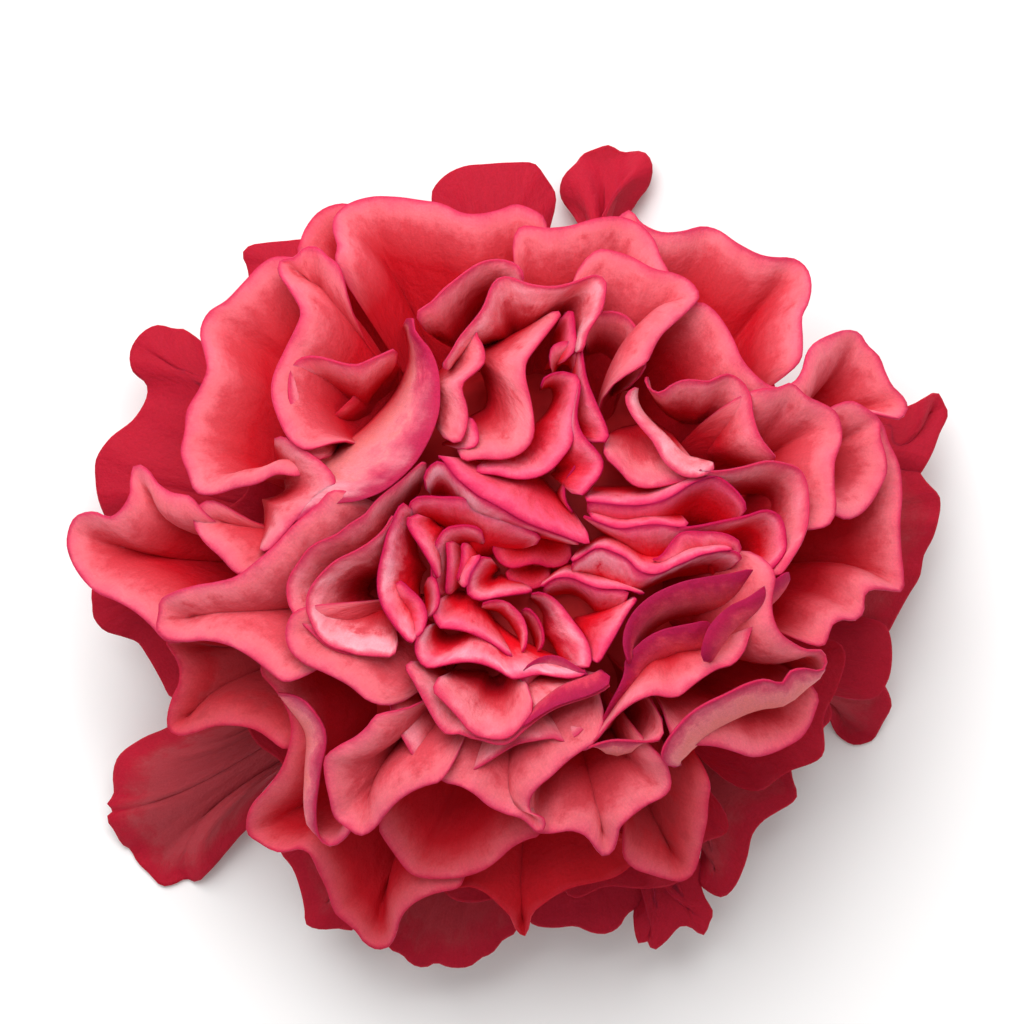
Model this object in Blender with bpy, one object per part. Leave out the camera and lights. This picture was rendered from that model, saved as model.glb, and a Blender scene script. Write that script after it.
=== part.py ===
"""A very double, ruffled rose bloom, cut off just below its hip: petals round a core, and the green calyx.

Millimetres in the tables, metres in Blender, +Z up. The bloom faces up. It rests on the cut end of its
stem and on the tips of three guard petals.
"""

import math

import bmesh
import bpy
import numpy as np
from mathutils import Matrix

# Driving dimensions in millimetres.
BLOOM_RADIUS = 58.0
HEART = (6.0, -6.0)
STEM = (4.0, -4.0)
PETAL_THICKNESS = 0.7
SEPAL_THICKNESS = 1.0
SEPAL_WIDTH = 7.5
SEPALS = 5
# The bloom's height over the part of its radius, from the heart (0) to the outline (1).
DOME_AT = (0.0, 0.1, 0.2, 0.35, 0.5, 0.6, 0.7, 0.8, 0.9, 1.0, 1.1, 1.2)
DOME_Z = (49.0, 51.0, 53.0, 53.0, 50.0, 47.0, 42.5, 37.0, 30.5, 23.5, 17.0, 11.0)
# The core that the petals grow from: radius and height, from its underside to its top.
CORE = ((0.0, 17.6), (8.0, 17.6), (18.0, 19.8), (27.0, 24.0), (31.0, 28.0), (30.0, 33.0), (25.0, 37.5),
        (16.0, 41.0), (8.0, 42.5), (0.0, 43.0))
# The disc that the guard petals grow from, under the core.
GUARD_CORE = ((0.0, 12.6), (8.0, 12.6), (15.0, 13.4), (19.5, 15.0), (19.5, 16.0), (8.0, 17.0), (0.0, 17.0))
# The hip on its stub of stem, the ring that the sepals grow from, and a sepal's ridge from there to its tip.
HIP = ((0.0, 0.0), (2.5, 0.0), (2.6, 4.6), (4.0, 5.6), (6.0, 7.4), (6.6, 9.4), (6.2, 11.4), (4.6, 12.2),
       (0.0, 12.2))
RIDGE = ((3.5, 10.0), (9.0, 10.6), (15.0, 10.2), (21.0, 8.4), (26.0, 5.4), (29.0, 2.0))
SEPAL_TAPER = (0.6, 0.9, 1.0, 0.8, 0.45, 0.12)
KEEL = 1.1
# The petals' triangles: columns along the rim, rows from foot to rim, and the width of a column.
COLUMNS = {"guard": (5, 10), "under": (5, 6), "outer": (5, 11), "inner": (5, 10), "heart": (4, 8)}
ROWS = {"guard": 3, "under": 2, "outer": 2, "inner": 2, "heart": 2}
COLUMN_WIDTH = 6.0
TURNED_STEPS = 24
MERGE = 0.001
SLIVER = 0.003
MM = 0.001
# Samples along a rim, and the parts of its length that its waves are smoothed over, near it and at its foot.
SAMPLES = 241
SMOOTH_RIM, SMOOTH_FOOT = 0.07, 0.1

# How each whorl grows. foot is the part of the way out to the rim that its foot is at, foot_z the foot's
# height and slope its slope there. lip is the slope at the rim, over 90 where the rim leans back in, and
# reach the length of the sheet's two handles as parts of the petal's length. lift is the rim's height over
# the dome, and most the greatest height it can have. Tuples run along the rim, and slopes are in degrees.
WHORLS = {
    "guard": dict(foot=0.3, foot_z=15.5, slope=0.0, most=(12,), lip=(-20,), reach=(0.35, 0.3),
                  lift=(-12,)),
    "under": dict(foot=0.35, foot_z=16.1, slope=5.0, most=(20,), lip=(-10,), reach=(0.35, 0.3),
                  lift=(-12,)),
    "outer": dict(foot=0.3, most=(60,), lip=(-5,), reach=(0.35, 0.3), lift=(0,)),
    "inner": dict(foot=0.5, most=(60,), lip=(25,), reach=(0.35, 0.3), lift=(0,)),
    "heart": dict(foot=0.85, most=(60,), lip=(70,), reach=(0.3, 0.35), lift=(0,)),
}
# The height of a petal's foot and its slope there, over the part of the bloom's radius that its rim is at.
FOOT_AT = (0.0, 0.45, 0.6, 0.75, 0.9, 1.05)
FOOT_Z = (36.0, 34.0, 30.0, 26.0, 23.0, 21.0)
FOOT_SLOPE = (85.0, 70.0, 50.0, 25.0, 10.0, 0.0)
# The hidden petals between the guards and the core: how many, their radius, the angle each spans, the
# points of its rim and the height of the rim's waves.
UNDER_PETALS, UNDER_RADIUS, UNDER_SPREAD = 9, 43.0, math.radians(44)
UNDER_POINTS, UNDER_WAVE = 8, 1.3
# A petal's side edges run down over this length of its rim, to this part of its height.
FLANK, FLANK_PART = 6.0, 0.35

# Every petal: its name, its whorl, what differs from its whorl, and its rim as seen from above. A rim
# point is x, y and, where a petal tucks under its neighbour, millimetres up or down.
PETALS = (
    ("guard_top_left", "guard", {}, (
        (-36, 30, -4), (-35.2, 34), (-34.8, 37), (-35.2, 39), (-35.7, 40.3), (-34.9, 41.3), (-33, 41.7),
        (-29.7, 42), (-27.6, 42.2), (-24, 41.5), (-20, 40, -3))),
    ("guard_left", "guard", {}, (
        (-38, 32, -4), (-41.2, 29), (-43.7, 30.2), (-44.9, 30.2), (-47.2, 30.7), (-49.4, 29.5),
        (-50.8, 27), (-50.4, 24.6), (-48.6, 23), (-48.5, 21.2), (-50.3, 18.1), (-53.5, 15.5),
        (-55.3, 12.8), (-55.4, 10), (-54.9, 7), (-53, 3, -2), (-50, -1, -5))),
    ("guard_top", "guard", {}, (
        (-14, 43, -4), (-10.5, 46.5), (-10.2, 48.8), (-8.5, 50.8), (-6, 52), (-3, 52.3), (0, 52.5),
        (3.5, 52.3), (4.6, 50.9), (5.9, 49), (7, 47.5), (9, 44, -4))),
    ("guard_top_right", "guard", dict(most=(3,), lip=(-35,)), (
        (7, 42, 1), (7.7, 46.5), (7, 48.8), (7.4, 50.8), (9, 52.6, -1), (10, 54, -3), (12, 54.9, -4),
        (13.5, 55.3, -4), (15.4, 54.3, -3), (18.3, 54.1, -1), (19.2, 52.5), (18.7, 49.7), (17.2, 47.7),
        (16, 45), (17, 41, -3))),
    ("guard_right", "guard", {}, (
        (48, 25, -5), (53.1, 19.8, -2), (55.5, 20.9), (57.4, 21.8), (58.5, 20.2), (59, 18.8),
        (57.8, 16.2), (56.7, 13.5), (55.1, 10.8), (52, 6, -4))),
    ("guard_far_left", "guard", {}, (
        (-52, 0, -5), (-55.8, -4.4), (-55.8, -7), (-55.7, -8.3), (-54.3, -10.1), (-51.5, -11),
        (-49.8, -11.7), (-48.5, -13.5), (-46.5, -17), (-45.1, -19.8), (-42, -23, -4))),
    ("guard_lower_left", "guard", dict(most=(10, 6, 2, 2, 6), lip=(-35,)), (
        (-38, -19, -2), (-44, -22.3), (-46.3, -23.6), (-49.5, -25), (-52.5, -27.3), (-53.2, -29.5),
        (-53.2, -32.5), (-54.1, -33.8), (-53.1, -34.4), (-54.2, -35.5), (-53.3, -37), (-52.2, -39, -1),
        (-51.2, -39.7, -2), (-50.3, -41.5, -3), (-48.5, -43.3, -4), (-47, -44.8, -4), (-45.5, -44.7, -3),
        (-43.5, -43.8, -2), (-42, -44.1, -1), (-40.8, -43), (-38, -39.8), (-36, -37.5), (-34.5, -36.5),
        (-31, -34, -3))),
    ("guard_bottom_left", "guard", {}, (
        (-33, -35, -4), (-30.8, -39.7), (-29, -42), (-27.9, -45), (-27.3, -48), (-27.2, -49.5),
        (-25.5, -50.2), (-22.8, -50.1), (-20.5, -50.5), (-16, -49, -3))),
    ("guard_bottom", "guard", {}, (
        (-19, -48, -4), (-16.2, -52.7), (-14.3, -53.6), (-13, -54.9), (-11.3, -55.3), (-9.8, -54.7),
        (-8, -55.3), (-5.4, -55.2), (-3.7, -54), (-2.3, -53.4), (-0.8, -51.6), (1, -50.8),
        (5, -48, -3))),
    ("guard_bottom_right", "guard", {}, (
        (-1, -46, -4), (3, -49.5), (5.8, -50), (9, -49.8), (11, -50.6), (13, -50.8), (14.8, -49.8),
        (15.7, -48.3), (16.5, -47.7), (19, -46.2), (21, -45), (23, -43.7), (27, -40, -3))),
    ("guard_jagged", "guard", dict(foot_z=15.2), (
        (14, -44, -4), (16.5, -48), (17, -51), (17.6, -52.3), (18.4, -51.6), (19.4, -53), (20.8, -52),
        (23, -49.8), (24.4, -49.9), (26.1, -51), (26.8, -49.4), (27.3, -48), (26.2, -46), (25.7, -44.3),
        (26, -41), (28, -37, -3))),
    ("guard_low_right", "guard", {}, (
        (23.5, -39, -3), (25.5, -44), (26.8, -45.2), (28.6, -45.9), (30.1, -44.7), (31.4, -42),
        (31.9, -40.5), (32.6, -37.5), (34, -35.7), (36, -34.4), (38, -33.2), (38.6, -32.3), (38, -30.3),
        (37.8, -28), (38.6, -25), (40.2, -22.5), (43, -19, -2))),
    ("guard_right_long", "guard", dict(most=(1, 1, 4, 8, 11, 12, 12, 12), lip=(-35, -20)), (
        (40, -21, 3), (42.4, -22.9, 1), (44, -24.2, -1), (45.8, -25.5, -3), (46.8, -25.8, -3),
        (48, -25.6, -3), (49.2, -25, -2), (50.4, -22.6), (51.5, -20.3), (51.2, -19), (50.5, -17.7),
        (48.7, -16), (48.3, -14.5), (48.8, -12.8), (50.9, -10.4), (52, -8.3), (53.8, -5), (55, -3),
        (55.6, 0), (56.8, 2.3), (57.6, 5), (57.8, 6.5), (57.6, 8), (56, 9.6), (54, 12.5), (51.5, 15.7),
        (48, 18, -3))),
    ("guard_sliver", "guard", dict(foot_z=15.8), (
        (48, -5, -3), (50.9, -10.4), (51.3, -13.5), (50.9, -16.5), (49.5, -19), (46, -23, -3))),
    ("guard_strip", "guard", dict(foot_z=15.2), (
        (46, -18, -3), (43.5, -22), (42.4, -22.9), (41, -24.8), (39.3, -26.7), (38.2, -28.6),
        (36, -33, -3))),
    ("top_left_small", "outer", dict(lift=(-3,)), (
        (-31, 36, -3), (-28, 41), (-27.2, 43.2), (-25.6, 45.4), (-23.6, 46.5), (-21, 46.7),
        (-16, 45, -2))),
    ("top_wide", "outer", {}, (
        (-26, 35, -3), (-23.1, 39.6), (-22.7, 41), (-23.3, 43), (-23.2, 44.8), (-21.5, 46.5),
        (-18.5, 47.5), (-15, 47.5), (-11.5, 47), (-8.8, 46.5), (-6.3, 45.3), (-4, 45.1), (-1.2, 45.7),
        (1, 46.4), (3.7, 45.4), (9, 42, -3))),
    ("top_right_large", "outer", {}, (
        (9, 40, -3), (13.5, 43.7, -1), (16, 45.7), (17.2, 44.2), (20, 42.8), (23, 42.9), (25.8, 43.6),
        (27.8, 43.1), (30.3, 41.4), (33.3, 39.9), (35.5, 39.5), (38, 39.4), (39.7, 38), (40.2, 35.8),
        (39.8, 33.6), (38.9, 31.8), (38.9, 28.5), (38.8, 26), (38, 21, -4))),
    ("top_centre", "outer", dict(lift=(1,)), (
        (-3, 40, -3), (1.5, 43.4), (5, 43.2), (8, 43.5), (12, 44.6), (15, 44.7), (17.5, 43.6),
        (19.3, 41.5), (20.2, 39), (21.5, 37), (24, 33, -3))),
    ("left_large", "outer", {}, (
        (-22, 38, -4), (-27.5, 39.3, -1), (-31.2, 39.5), (-33, 38.5), (-35, 36.4), (-37.5, 33.8),
        (-40, 32.1), (-41, 29.5), (-40.3, 26.8), (-40, 24.5), (-41, 22), (-42.6, 19.2), (-42.9, 16.3),
        (-43.4, 13.6), (-42.5, 11), (-41.3, 8.3), (-38.8, 8), (-36, 8.8), (-33, 9.4), (-30.5, 10.6),
        (-27, 10, -2), (-23, 9, -4))),
    ("left_tuck", "outer", dict(lift=(-1,)), (
        (-35, 9, -2), (-39.5, 7.6), (-41.5, 5.8), (-41.6, 4), (-40.3, 1.8), (-38, -0.3), (-36, -2.4),
        (-31, -5, -3))),
    ("far_left", "outer", {}, (
        (-37, 8, -3), (-41.5, 8), (-44.5, 8.3), (-46.5, 9.5), (-47.9, 11.3), (-49.6, 12), (-50.2, 10.5),
        (-50.3, 8.2), (-51.5, 6.1), (-53.2, 5), (-55.5, 5.7), (-57.9, 5), (-59, 2), (-58.5, -0.5),
        (-57, -3), (-55, -4.9), (-52, -6.2), (-49.5, -7.6), (-47.3, -9.5), (-45.7, -11.2),
        (-40, -14, -3))),
    ("left_trough", "outer", dict(lift=(3,)), (
        (-20, 12, -1), (-22.9, 9.5), (-25, 6.8), (-28.5, 3.8), (-30.5, 1.6), (-33.5, -1), (-36, -2.8),
        (-38.5, -3.5), (-41.5, -4), (-44.3, -4.9), (-46.1, -6), (-46.3, -7.6), (-46.6, -9.8),
        (-45.5, -11), (-43, -11.4), (-40, -11.2), (-37, -11.8), (-34.5, -13), (-32, -14.8),
        (-29.5, -16.8), (-25, -19, -2))),
    ("lower_left_dull", "outer", dict(lift=(-5,)), (
        (-40, -8, -4), (-45.6, -11.3), (-44.5, -13.2), (-43.7, -15.2), (-43.9, -17.2), (-44.9, -19.3),
        (-45.5, -22), (-45.3, -23.3), (-44, -24), (-41.5, -23.5), (-39, -22.7), (-36, -22.6),
        (-33.5, -23.1), (-31.5, -24.4), (-29.8, -25.7), (-25, -28, -3))),
    ("lower_left_long", "outer", dict(lift=(-4,)), (
        (-37, -13, -2), (-34, -15), (-31.5, -17), (-29.6, -19.7), (-28.8, -22), (-29, -25),
        (-30.3, -28.5), (-32.2, -31), (-34.2, -33.3), (-34.8, -35), (-34.8, -37), (-33.3, -38.2),
        (-31, -39.4), (-29.5, -39.3), (-28, -38.9), (-26.5, -39.6), (-25.3, -42), (-24.2, -44.5),
        (-23.6, -46.5), (-23.1, -47.8), (-21.8, -48.9), (-20.4, -50.2), (-19.3, -51.7), (-17.8, -52.6),
        (-16.3, -52.4), (-15.2, -50.7), (-14.7, -48.8), (-13.5, -47), (-11.5, -45.5), (-9, -44.6),
        (-6, -44), (-2, -42, -3))),
    ("lower_left_fold", "outer", dict(lift=(-1,), lip=(110, 80, 20, 0)), (
        (-30, -15, -1), (-27, -18.5), (-25, -21), (-24, -23), (-23.9, -25), (-24.5, -27.5), (-24.9, -30),
        (-25.3, -33), (-25.2, -36), (-24.6, -37.7), (-23.5, -38.4), (-22.3, -37.8), (-21, -36.7),
        (-17, -34, -2))),
    ("lower_left_bright", "outer", dict(lift=(3,)), (
        (-15, -17, 0), (-17.7, -20.3), (-18.2, -21.8), (-20, -23.6), (-22.5, -25), (-24.2, -26.6),
        (-24.2, -29), (-23.6, -32), (-23, -34.4), (-21.3, -35.9), (-19.5, -36.9), (-17.8, -36),
        (-16.2, -34), (-14, -31.8), (-11, -30.2), (-8.5, -29.7), (-4, -29, -3))),
    ("lower_left_wave", "outer", dict(lift=(3,)), (
        (-26, -3, -1), (-28.5, -7.5), (-29.3, -10), (-28.8, -12.3), (-27, -14.1), (-25, -15),
        (-23, -15.9), (-21, -17), (-19.3, -18.4), (-18.2, -20), (-17.9, -21.3), (-16, -23, -2))),
    ("bottom_salmon", "outer", dict(lift=(1,)), (
        (-13, -26, -3), (-8.8, -29.6), (-6.5, -30.2), (-4.5, -31.3), (-2.8, -32.8), (-0.5, -33.9),
        (1.8, -34.6), (3.8, -36.4), (4.7, -35.9), (4.6, -34.5), (2.9, -33.6), (2.8, -32), (3.8, -30.4),
        (5.5, -29), (7.5, -27.1), (9.5, -25.6), (12, -24.4), (16, -23, -2))),
    ("bottom_cup", "outer", {}, (
        (0, -32, -4), (3, -36.2, -2), (5.5, -36.5), (8.3, -36.2), (10.2, -37), (11.5, -38.6),
        (12.4, -39.6), (13.5, -39.2), (14.2, -37.5), (14.5, -36), (16, -34.4), (18.3, -32.7),
        (20.5, -31.6), (21.3, -30.4), (21.2, -28.8), (20.6, -27), (20.4, -25.3), (21, -22, -2))),
    ("bottom_roll", "outer", dict(lift=(1,), lip=(120,), reach=(0.35, 0.2)), (
        (6, -27.6, -1), (9, -25.9), (11, -24.7), (13.5, -24), (16.5, -24.1), (19, -24.3), (20.4, -24.6),
        (23, -23, -1))),
    ("bottom_pale", "outer", dict(lift=(-4,)), (
        (-20, -32, -4), (-17.5, -36), (-16.3, -37.8), (-14.8, -40), (-13.2, -42), (-11.5, -42.7),
        (-8.5, -42.8), (-5.5, -42.4), (-3, -41.4), (-1.2, -40), (0.3, -38.6), (2.5, -37.4), (4.5, -36.9),
        (8, -34, -3))),
    ("bottom_long", "outer", dict(lift=(-8,)), (
        (-13, -39, -4), (-8, -44), (-5, -44), (-3, -44.9), (-1.2, -46.6), (0.3, -48.2), (1, -49.8),
        (2, -50.9), (2.5, -49.5), (3, -47.8), (5, -46), (8, -44.2), (11, -43.5), (14, -42.7),
        (16, -41.3), (17.5, -39.5), (16.5, -37, -1), (13, -34, -3))),
    ("bottom_right", "outer", dict(lift=(-4,)), (
        (12, -36, -3), (16.3, -41.3), (18.5, -42.2), (21, -43), (23, -43.3), (24.3, -42.4), (25, -41),
        (25.6, -38), (26.2, -35), (26.4, -32), (27, -29.8), (29, -26, -2))),
    ("right_lower", "outer", dict(lift=(-1,)), (
        (18, -22.5, -1), (21, -24.7), (24, -24.9), (27, -25.1), (29.5, -25.8), (32.2, -26.6),
        (34.5, -26.2), (36.8, -25.2), (38.6, -24.1), (39.8, -22.4), (40.5, -20.5), (41.3, -18.3),
        (42, -14, -2))),
    ("right_cup", "outer", {}, (
        (44, 21, -2), (49.2, 17.9), (50.5, 14.8), (51.8, 12), (52.2, 8), (51.9, 4.5), (52.1, 0),
        (52.4, -3), (52.3, -4.7), (50.5, -4.6), (47.8, -4.6), (47, -5.5), (46.9, -7.6), (45.7, -8.6),
        (44.3, -8.4), (42.7, -9.2), (42.1, -10.8), (41.5, -12.2), (37, -14, -3))),
    ("right_fold", "outer", dict(lift=(3,), lip=(0, 20, 100, 120)), (
        (37, 2, -3), (35.5, -1.5), (34.6, -5), (34.6, -7.8), (35.6, -10.1), (37.5, -11.6), (39.5, -12.5),
        (41.2, -12.6), (41.8, -13.8), (41, -15), (38.5, -14.7), (36.8, -15.1), (35.7, -16.6),
        (33.5, -16.1), (31, -16.7), (28.5, -17.9), (25.5, -19.3), (23.3, -20.8), (21.3, -23), (20, -25),
        (18.7, -27), (20.5, -29.2, -1))),
    ("right_face", "outer", dict(lift=(4,)), (
        (36, -1, -2), (33.3, -5.5), (32.4, -8), (31.5, -10.5), (30.8, -12.5), (29.3, -14.2),
        (27.5, -14.7), (25.5, -15.9), (24, -17), (22.2, -18.4), (20.8, -18.5), (19, -18.2), (17, -18.8),
        (15, -20), (13, -21.9), (11.3, -24), (9, -26, -2))),
    ("right_coral", "outer", dict(lift=(2,)), (
        (29, 25, -2), (33, 22.2), (35.5, 22.1), (37.2, 22.7), (39.3, 21), (41.5, 20), (43.2, 18.9),
        (43.9, 17), (43.9, 15), (43, 12.5), (42.9, 9), (43.1, 6), (42, 3.5), (39, 0, -2))),
    ("right_curl", "outer", dict(lift=(1,)), (
        (41, 23, -3), (46.5, 20), (49.2, 17.9), (49.2, 16), (50, 13), (50.1, 11), (49.2, 9), (48, 7),
        (46.3, 5.3), (44.8, 4.7), (43, 4.6), (40, 2, -2))),
    ("upper_right_swan", "outer", dict(lift=(1,)), (
        (21, 36, -2), (25, 33.8), (27.3, 32), (29.3, 29), (30.6, 26), (32.5, 23.7), (34.5, 22.3),
        (36, 22.2), (37.8, 23.1), (38.8, 24.7), (39.3, 26.5), (40.3, 28), (42.5, 29.2), (45, 29.9),
        (46.6, 29.5), (47.6, 28), (49.3, 26.3), (50, 24.5), (51, 22.5), (52.5, 21), (53.1, 19.5),
        (52.2, 18.2), (50.5, 17.9), (47, 16, -3))),
    ("upper_right", "outer", dict(lift=(3,)), (
        (7, 41.5, -2), (10, 41), (13, 40.3), (16, 39.4), (19, 37.8), (22, 37.1), (24, 36), (25.1, 34.2),
        (24.3, 32.9), (22, 30.7), (20, 28.8), (18.7, 26.4), (18.1, 24.3), (17, 20.5, -2))),
    ("upper_left_hollow", "outer", dict(lift=(2,), lip=(20,)), (
        (-18, 36, -2), (-22, 38.2), (-24, 39.4), (-25.4, 40.7), (-27, 40.7), (-28.5, 39.3), (-30.3, 39),
        (-30.5, 37.6), (-29.3, 35.6), (-27.8, 33.2), (-27.4, 32), (-28.1, 29.8), (-29.5, 27),
        (-31, 23.5), (-31.2, 21), (-30.4, 18.3), (-29, 15.5), (-27.2, 14), (-22, 12, -2))),
    ("hollow_inner", "outer", dict(lift=(1,), lip=(40,)), (
        (-24, 11, -1), (-27.2, 14.1), (-28.3, 18), (-29, 22), (-28.6, 24.8), (-27.2, 26), (-25, 26),
        (-22, 25.2), (-20, 25), (-17.5, 26), (-15.3, 26.9), (-11, 26.5, -3))),
    ("big_lip", "inner", dict(lip=(125,), reach=(0.35, 0.45), lift=(2,)), (
        (-14, 34, -2), (-12, 31.5), (-12.5, 30), (-11.8, 28.2), (-10, 26.6), (-9, 24.5), (-8.9, 22),
        (-9.1, 19), (-10, 15.5), (-12, 12), (-14.5, 9.7), (-17.5, 7.8), (-21, 6.9), (-24, 6.5),
        (-26, 5.8, -1), (-29, 3, -3))),
    ("rolled_lip", "inner", dict(lift=(2,)), (
        (4, 33, -2), (1.7, 37), (0, 38.6), (-2, 38.9), (-4.2, 38.2), (-7, 36), (-9.5, 33.8), (-12, 32.1),
        (-14, 31), (-14.8, 29), (-15, 26.5, -1), (-14, 23, -3))),
    ("twin_lobe", "inner", dict(lift=(3,)), (
        (-8.5, 20, -2), (-9, 24.3), (-7.3, 27), (-5, 29.8), (-3.3, 31.5), (-2.8, 34), (-1.6, 36.1),
        (0, 36.6), (2, 35.8), (5, 34.9), (7, 35.3), (9, 36), (11.7, 36.8), (12.8, 35.7), (12.3, 33),
        (11, 30.3), (9.8, 28), (9.4, 25.5), (9.5, 21, -2))),
    ("inner_lobe", "inner", dict(lift=(2,)), (
        (-1, 30.5, -2), (-3.3, 27.2), (-3.6, 25), (-5.7, 23.3), (-6.1, 21.5), (-5.4, 19.3), (-5.6, 16.5),
        (-6.8, 14.5), (-8.5, 13.3), (-12, 11, -2))),
    ("pit_wall", "heart", dict(lift=(-1,)), (
        (9, 27.5, -1), (8.4, 31), (7.8, 33), (6, 31.5), (4, 29.3), (2.3, 26.8), (2, 24.5), (2.5, 22),
        (3.3, 19.5), (3.4, 17.3), (2.8, 14.8), (1, 13.2), (-1, 12.7), (-3, 13.3), (-6, 12.5, -1))),
    ("crinkle", "heart", dict(lift=(0,)), (
        (4, 25, -1), (5.5, 23.8), (7.5, 24), (9.2, 23.6), (9.1, 21.5), (8.7, 19), (8.5, 16), (7.8, 13.7),
        (6, 11.7), (3.5, 10.2), (0.5, 10.1), (-2.5, 10.8), (-5.5, 11.2), (-9, 12.5, -1))),
    ("double_rim", "heart", dict(lift=(0,)), (
        (9.3, 30, -2), (9.5, 26), (10.3, 22.5), (11.7, 19.3), (12.8, 16.3), (12.5, 14.5), (13, 12.7),
        (14.8, 11), (16, 9.4), (18, 8.9), (21, 9.3), (24, 10), (26, 10.5, -1))),
    ("double_rim_low", "heart", dict(lift=(1,)), (
        (9.6, 24.5, -1), (8.8, 20), (8.7, 17), (9.5, 15), (11, 13.2), (12, 11.8), (11.7, 10.3),
        (10.3, 8.8), (9.4, 7), (8.5, 5.5, -1))),
    ("right_lobed", "inner", dict(lift=(0,)), (
        (23, 9.5, -1), (20.2, 12.3), (18.8, 15), (16.8, 17.5), (15.5, 19.6), (15.6, 21.2), (17, 22.5),
        (18.4, 21.6), (19.8, 21.3), (21.5, 22.3), (24, 23.1), (26.3, 22.7), (29, 23.8), (30.8, 22.7),
        (31.5, 20.5), (31.9, 17.5), (33.2, 15), (35, 12.7), (37, 10, -2))),
    ("right_heart", "inner", dict(lift=(2,), lip=(20, 20, 60, 110)), (
        (23.5, 13, -1), (26.5, 11.3), (28.3, 11.1), (31, 11.6), (34, 12.3), (36.3, 12), (38.2, 11.3),
        (39.1, 9.8), (39.4, 7), (39.3, 4.5), (38.5, 2), (37.2, -0.2), (35.3, -2.8), (33.5, -3.9),
        (31, -5.6), (29, -6.5), (27.5, -7.7), (26, -9.5), (25.2, -11.8), (24.5, -15, -2))),
    ("left_heart", "inner", dict(lift=(2,)), (
        (-6.5, 13.5, -1), (-9.9, 13.2), (-12, 12), (-15, 9), (-18, 6), (-21, 4), (-25, 1.7),
        (-27.5, -1.2), (-29, -4), (-28.8, -6.5), (-27.5, -8.4), (-25.8, -10.1), (-24, -11.7),
        (-22, -12.5), (-20, -13), (-17, -13.5), (-14.5, -14.5), (-12, -17, -2))),
    ("low_heart", "inner", dict(lift=(2,)), (
        (-14.5, -13, -1), (-12.2, -16.5), (-11.2, -18.8), (-10, -21), (-9, -22.6), (-7.8, -23.3),
        (-6, -23.4), (-4, -24.1), (-2, -24.6), (-0.5, -24.7), (1, -23.7), (4, -21.6), (7.5, -19.6),
        (10.5, -18.5), (12.8, -17.3), (15, -15, -1))),
    ("low_shell", "inner", dict(lift=(0,)), (
        (-20, -13, -2), (-17.3, -16.8), (-15.8, -19), (-14.9, -22), (-13.5, -24.7), (-11.8, -27.4),
        (-10.3, -28.7), (-8.2, -29.5), (-6, -28.8), (-3.5, -27.4), (-1, -25.8), (1, -24.7), (3.5, -24.2),
        (6, -23.9), (7.4, -24.4), (9.5, -23), (12, -20, -2))),
    ("heart_bar", "heart", dict(lift=(1,)), (
        (-11, 13, -1), (-9.2, 13.2), (-6.5, 11.2), (-3, 8.7), (0, 7.2), (2, 6), (5, 3.8), (8, 2.5),
        (10, 1.7), (13, 1.2, -1))),
    ("heart_arch", "heart", {}, (
        (-13.3, 3, -1), (-13.4, 5.5), (-12.5, 7.4), (-10, 7.6), (-6.5, 7.3), (-3.5, 6.3), (-0.5, 4.5),
        (2, 2.8), (4, 2.2), (6, 1, -1))),
    ("heart_left", "heart", dict(lift=(1,)), (
        (-13, 8.5, -1), (-14.2, 6.7), (-15.4, 4), (-16.4, 1), (-17.1, -2.5), (-16.9, -5.5), (-15.7, -8),
        (-13.9, -10.4), (-12.4, -11.9), (-11, -13, -1))),
    ("heart_low", "heart", dict(lift=(0,)), (
        (-13.5, -3, -1), (-12, -4.8), (-11.1, -6.5), (-10.9, -8.8), (-11.8, -10.5), (-12.2, -11.8),
        (-11.8, -13.3), (-10.8, -14.5), (-9.5, -14.4), (-7, -13.9), (-4.5, -13.8), (-2.3, -14.3),
        (-0.5, -15.4), (0.8, -16), (3, -15.8), (6, -15.6), (9, -15.6), (11, -15.8), (13, -14, -1))),
    ("heart_hook", "heart", {}, (
        (-10.3, -2.5, -1), (-10, 0), (-9.7, 1.5), (-8.7, 3.2), (-7.3, 3.8), (-5, 3.6), (-2.5, 2.8),
        (-0.5, 1.8, -1))),
    ("heart_curl", "heart", {}, (
        (-5.5, 3, -1), (-6.5, 2), (-6.3, 0), (-6.8, -1.7), (-7.8, -3.8), (-8.4, -5.5), (-9, -7),
        (-9.4, -8.5), (-8.8, -9.4), (-7, -9.4), (-4.5, -9.7), (-2.5, -10.6), (-0.5, -11.9), (1.3, -13),
        (2.5, -13.5, -1))),
    ("heart_centre", "heart", {}, (
        (-2.3, 0.5, -1), (-3.8, -0.7), (-5, -2.5), (-5.4, -4.5), (-4.8, -5.8), (-3, -5.7), (-1, -5.3),
        (1.5, -4.9), (4, -4.8), (6, -5.4), (7.5, -6.9), (9, -8.7), (10.2, -10.4), (11, -12.5),
        (10.8, -14.2), (10.3, -15.1), (9, -14.6), (7.5, -13.4), (6, -13, -1))),
    ("heart_wave", "heart", dict(lift=(0,)), (
        (6, -1, -1), (8, 0), (10.5, 1.3), (12.8, 2.1), (15, 1), (17.5, -0.3), (19.7, -0.2), (21, 1.3),
        (22.8, 3.2), (25, 3.2), (28.5, 2.8), (30.3, 1.7), (30.6, 0.3), (31, -1.5, -1))),
    ("heart_wave_low", "heart", dict(lift=(-1,)), (
        (13.5, 1, -1), (15, 0), (17, -1.8), (18.5, -2.2), (20.5, -1.6), (22.5, -0.5), (25, 0.3),
        (27.5, 0.7), (30.2, 0.3), (31, -0.7), (30.5, -2.3), (29.3, -3.2, -1))),
    ("heart_upper", "heart", dict(lift=(0,)), (
        (6.8, 10.5, -1), (7.2, 8), (8, 6), (9.5, 5), (12, 4.6), (15, 4), (19, 4.5), (22, 4.7), (25, 4.2),
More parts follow.
